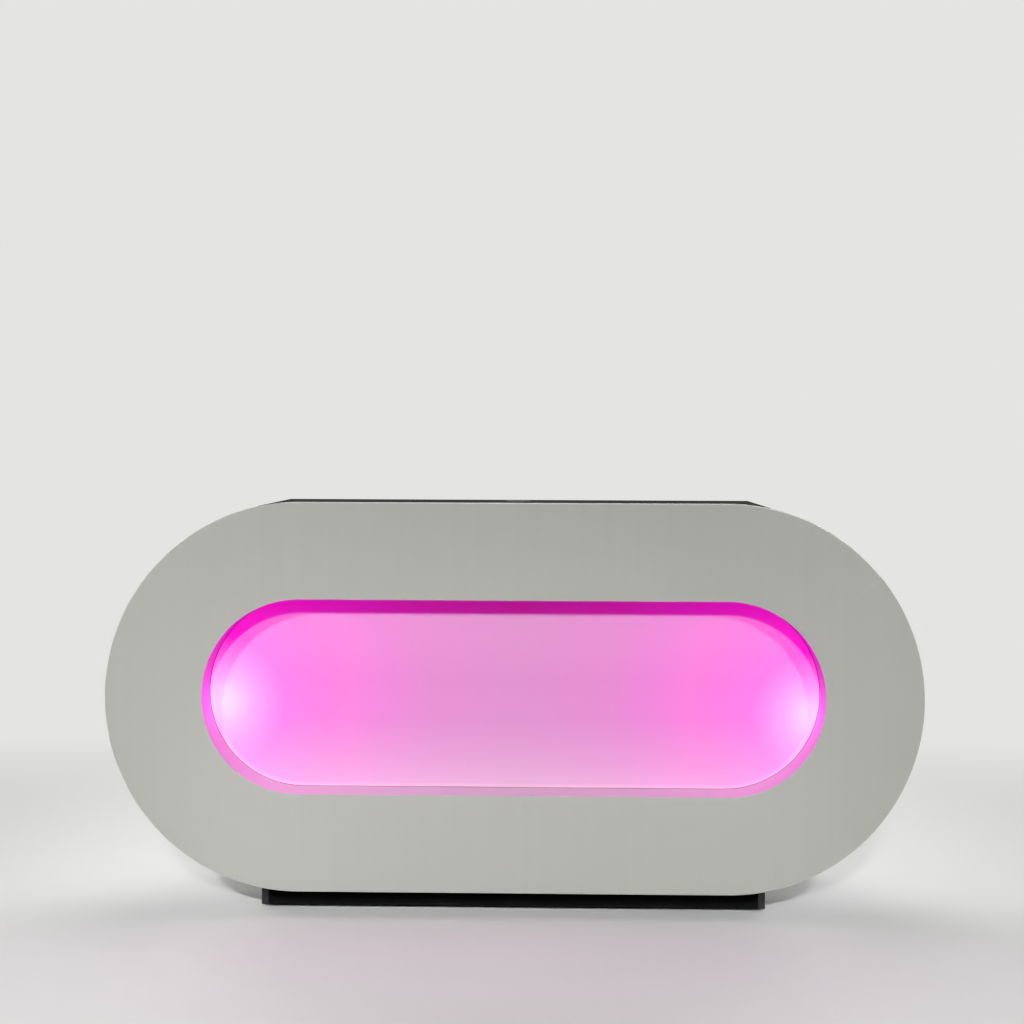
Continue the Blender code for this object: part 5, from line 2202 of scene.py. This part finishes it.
@dataclass
class Studio:
    """The pale floor, the soft lights and the camera, which stands where the photograph was taken.

    A light's place, aim, side, power in watts and spread are the fields that start with its name.

    Attributes:
        camera: the camera's place.
        yaw: how far it is turned to the left, in radians.
        roll: how far it leans, in radians.
        lens_mm: its focal length.
        sensor_mm: the width of the frame that the focal length is for.
        axis_row: the picture's row that the lens points at, since the lens was shifted.
        picture: the picture's side, in pixels.
        pale: the colour of the floor and of what lies behind it.
        near_bounce: the floor's colour near the booth, for the light that it sends back.
        far_bounce: its colour far off, for the same.
        ambient: how bright the world behind the booth is for everything but what is seen.
        flagged: how bright it is in front of the booth.
        flag_from: how far towards the rear a direction points where the brightness starts to grow.
        flag_to: how far it points where the brightness is full.
        rise: the slope at which the front light looks down.
        front_distance: how far off it hangs.
        side_place: where the narrow light towards the right end hangs; the left one mirrors it.
        left_share: how much stronger the left one is.
        fill_place: where the right fill behind the booth hangs; the left one mirrors it.
        floor_radius: the floor's radius.
        fade_shape: how fast the floor fades along X and Y.
        fade_from: how far from the booth it starts to fade into the world's colour.
        fade_to: how far off it has faded.
    """

    camera: Vector = Vector((0.11594, -5.1615, 1.2187))
    yaw: float = 0.02471
    roll: float = 0.00376
    lens_mm: float = 66.645
    sensor_mm: float = 36.0
    axis_row: float = 441.05
    picture: int = 1024
    pale: str = "#E4E4E3"
    near_bounce: str = "#303030"
    far_bounce: str = "#242424"
    ambient: float = 0.45
    flagged: float = 0.015
    flag_from: float = -0.10
    flag_to: float = 0.50
    rise: float = 0.390
    front_distance: float = 14.0
    front_size: float = 0.6
    front_power: float = 985.0
    side_place: Vector = Vector((1.92, -4.70, 2.58))
    side_aim: Vector = Vector((0.70, -0.31, 0.16))
    side_size: float = 0.24
    side_spread: float = math.radians(33.0)
    side_power: float = 4.05
    left_share: float = 1.32
    fill_place: Vector = Vector((3.2, 3.4, 2.4))
    fill_size: float = 2.2
    fill_power: float = 13.0
    fill_spread: float = math.radians(64.0)
    overhead_place: Vector = Vector((0.0, 1.6, 3.6))
    overhead_aim: Vector = Vector((0.0, 0.6, 0.0))
    overhead_size: float = 3.0
    overhead_power: float = 60.0
    floor_radius: float = 40.0
    fade_shape: Vector = Vector((0.6, 1.0, 0.0))
    fade_from: float = 1.0
    fade_to: float = 2.9

    def build(self) -> None:
        """Sets the stage."""
        bpy.context.scene.view_settings.view_transform = "Standard"
        self.build_camera()
        self.build_world()
        self.build_floor()
        self.build_lights()

    def build_camera(self) -> None:
        """The camera, level and shifted down, as the photograph's upright edges show."""
        data = bpy.data.cameras.new("camera")
        data.sensor_width = self.sensor_mm
        data.lens = self.lens_mm
        data.shift_y = (self.axis_row - self.picture / 2) / self.picture
        camera = bpy.data.objects.new("camera", data)
        turn = Matrix.Rotation(self.yaw, 4, "Z") @ Matrix.Rotation(math.pi / 2, 4, "X")
        lean = Matrix.Rotation(self.roll, 4, "Z")
        camera.matrix_world = Matrix.Translation(self.camera) @ turn @ lean
        bpy.context.scene.collection.objects.link(camera)
        bpy.context.scene.camera = camera

    def build_world(self) -> None:
        """A world that looks pale and lights gently, from behind, since the front is flagged."""
        world = bpy.data.worlds.new("studio")
        world.use_nodes = True
        tree = world.node_tree
        towards = add_node(tree, "TexCoord", out="Generated")
        rearwards = add_node(tree, "SeparateXYZ", {0: towards}, out="Y")
        level = add_node(
            tree,
            "MapRange",
            {
                "Value": rearwards,
                "From Min": self.flag_from,
                "From Max": self.flag_to,
                "To Min": self.flagged,
                "To Max": self.ambient,
            },
        )
        colour = add_node(
            tree, "Mix", {0: self.seen_rays(tree), 6: level, 7: linear(self.pale)}, **IN_COLOUR
        )
        fill(tree, tree.nodes["Background"], {"Color": colour})
        bpy.context.scene.world = world

    def seen_rays(self, tree: NodeTree) -> NodeSocket:
        """Which rays see the world, and aren't only lit by it.

        Args:
            tree: the world's nodes.

        Returns:
            One where a ray is what the camera, a mirror or a glass sees, and nought elsewhere.
        """
        camera, glossy, through = (
            add_node(tree, "LightPath", out=f"Is {kind} Ray")
            for kind in ("Camera", "Glossy", "Transmission")
        )
        either = add_node(tree, "Math", {0: camera, 1: glossy}, operation="MAXIMUM")
        return add_node(tree, "Math", {0: either, 1: through}, operation="MAXIMUM")

    def build_floor(self) -> None:
        """The floor, which keeps the booth's shadow and fades into the world's colour far from it."""
        shape = bmesh.new()
        bmesh.ops.create_circle(shape, cap_ends=True, segments=96, radius=self.floor_radius)
        mesh = bpy.data.meshes.new("floor")
        shape.to_mesh(mesh)
        shape.free()
        mesh.materials.append(self.floor_material())
        floor = bpy.data.objects.new("studio_floor", mesh)
        bpy.context.scene.collection.objects.link(floor)

    def floor_material(self) -> Material:
        """Makes the floor matt near the booth and as even as the world's light further off.

        Returns:
            The floor's material.
        """
        material = bpy.data.materials.new("studio_floor")
        material.use_nodes = True
        tree = material.node_tree
        tree.nodes.remove(tree.nodes["Principled BSDF"])
        place = add_node(tree, "TexCoord", out="Object")
        spread = add_node(tree, "VectorMath", {0: place, 1: self.fade_shape}, operation="MULTIPLY")
        away = add_node(tree, "VectorMath", {0: spread}, out="Value", operation="LENGTH")
        fade = add_node(
            tree,
            "MapRange",
            {"Value": away, "From Min": self.fade_from, "From Max": self.fade_to},
            interpolation_type="SMOOTHSTEP",
        )
        bounce = add_node(tree, "LightPath", out="Is Diffuse Ray")
        near_colour, far_colour = (
            add_node(
                tree, "Mix", {0: bounce, 6: linear(self.pale), 7: linear(sent_back)}, **IN_COLOUR
            )
            for sent_back in (self.near_bounce, self.far_bounce)
        )
        near = add_node(tree, "BsdfDiffuse", {"Color": near_colour})
        far = add_node(tree, "Emission", {"Color": far_colour})
        surface = add_node(tree, "MixShader", {0: fade, 1: near, 2: far})
        fill(tree, tree.nodes["Material Output"], {"Surface": surface})
        return material

    def add_light(
        self,
        name: str,
        place: Vector,
        aim: Vector,
        size: float,
        power: float,
        spread: float = math.pi,
    ) -> None:
        """Adds a soft square light that the camera doesn't see.

        Args:
            name: its name.
            place: where it hangs.
            aim: what it points at.
            size: the length of its side.
            power: its power in watts.
            spread: how wide it shines, which a grid in front of it narrows.
        """
        data = bpy.data.lights.new(name, "AREA")
        data.size = size
        data.energy = power
        data.spread = spread
        light = bpy.data.objects.new(name, data)
        light.location = place
        light.rotation_euler = (aim - place).to_track_quat("-Z", "Y").to_euler()
        light.visible_camera = False
        bpy.context.scene.collection.objects.link(light)

    def build_lights(self) -> None:
        """A front light far off, a narrow one towards each end, a box above and two fills behind."""
        low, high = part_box("diffuser_panel")
        middle = Vector((0.0, low.y, (low.z + high.z) / 2))
        far = middle + self.front_distance * Vector((0.0, -1.0, self.rise))
        self.add_light("front", far, middle, self.front_size, self.front_power)
        for side in Side:
            mirrored = Matrix.Diagonal((side.value, 1.0, 1.0))
            self.add_light(
                f"front_{side.word}",
                mirrored @ self.side_place,
                mirrored @ self.side_aim,
                self.side_size,
                self.side_power * (self.left_share if side is Side.LEFT else 1.0),
                self.side_spread,
            )
            self.add_light(
                f"fill_{side.word}",
                mirrored @ self.fill_place,
                middle,
                self.fill_size,
                self.fill_power,
                self.fill_spread,
            )
        self.add_light(
            "overhead",
            self.overhead_place,
            self.overhead_aim,
            self.overhead_size,
            self.overhead_power,
        )


def main() -> None:
    """Loads the frame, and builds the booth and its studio."""
    logging.basicConfig(level=logging.INFO, format="%(name)s: %(message)s")
    shop = Workshop(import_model())
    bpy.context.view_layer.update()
    assemblies = [Studio(), Facade(shop), Drum(shop), Supply(shop), Desk(shop)]
    for side in Side:
        assemblies += [ServiceHatch(shop, side), ColourLamp(shop, side)]
        assemblies += [LevellingLeg(shop, row, side) for row in Row]
    for assembly in assemblies:
        assembly.build()


if __name__ == "__main__":
    main()
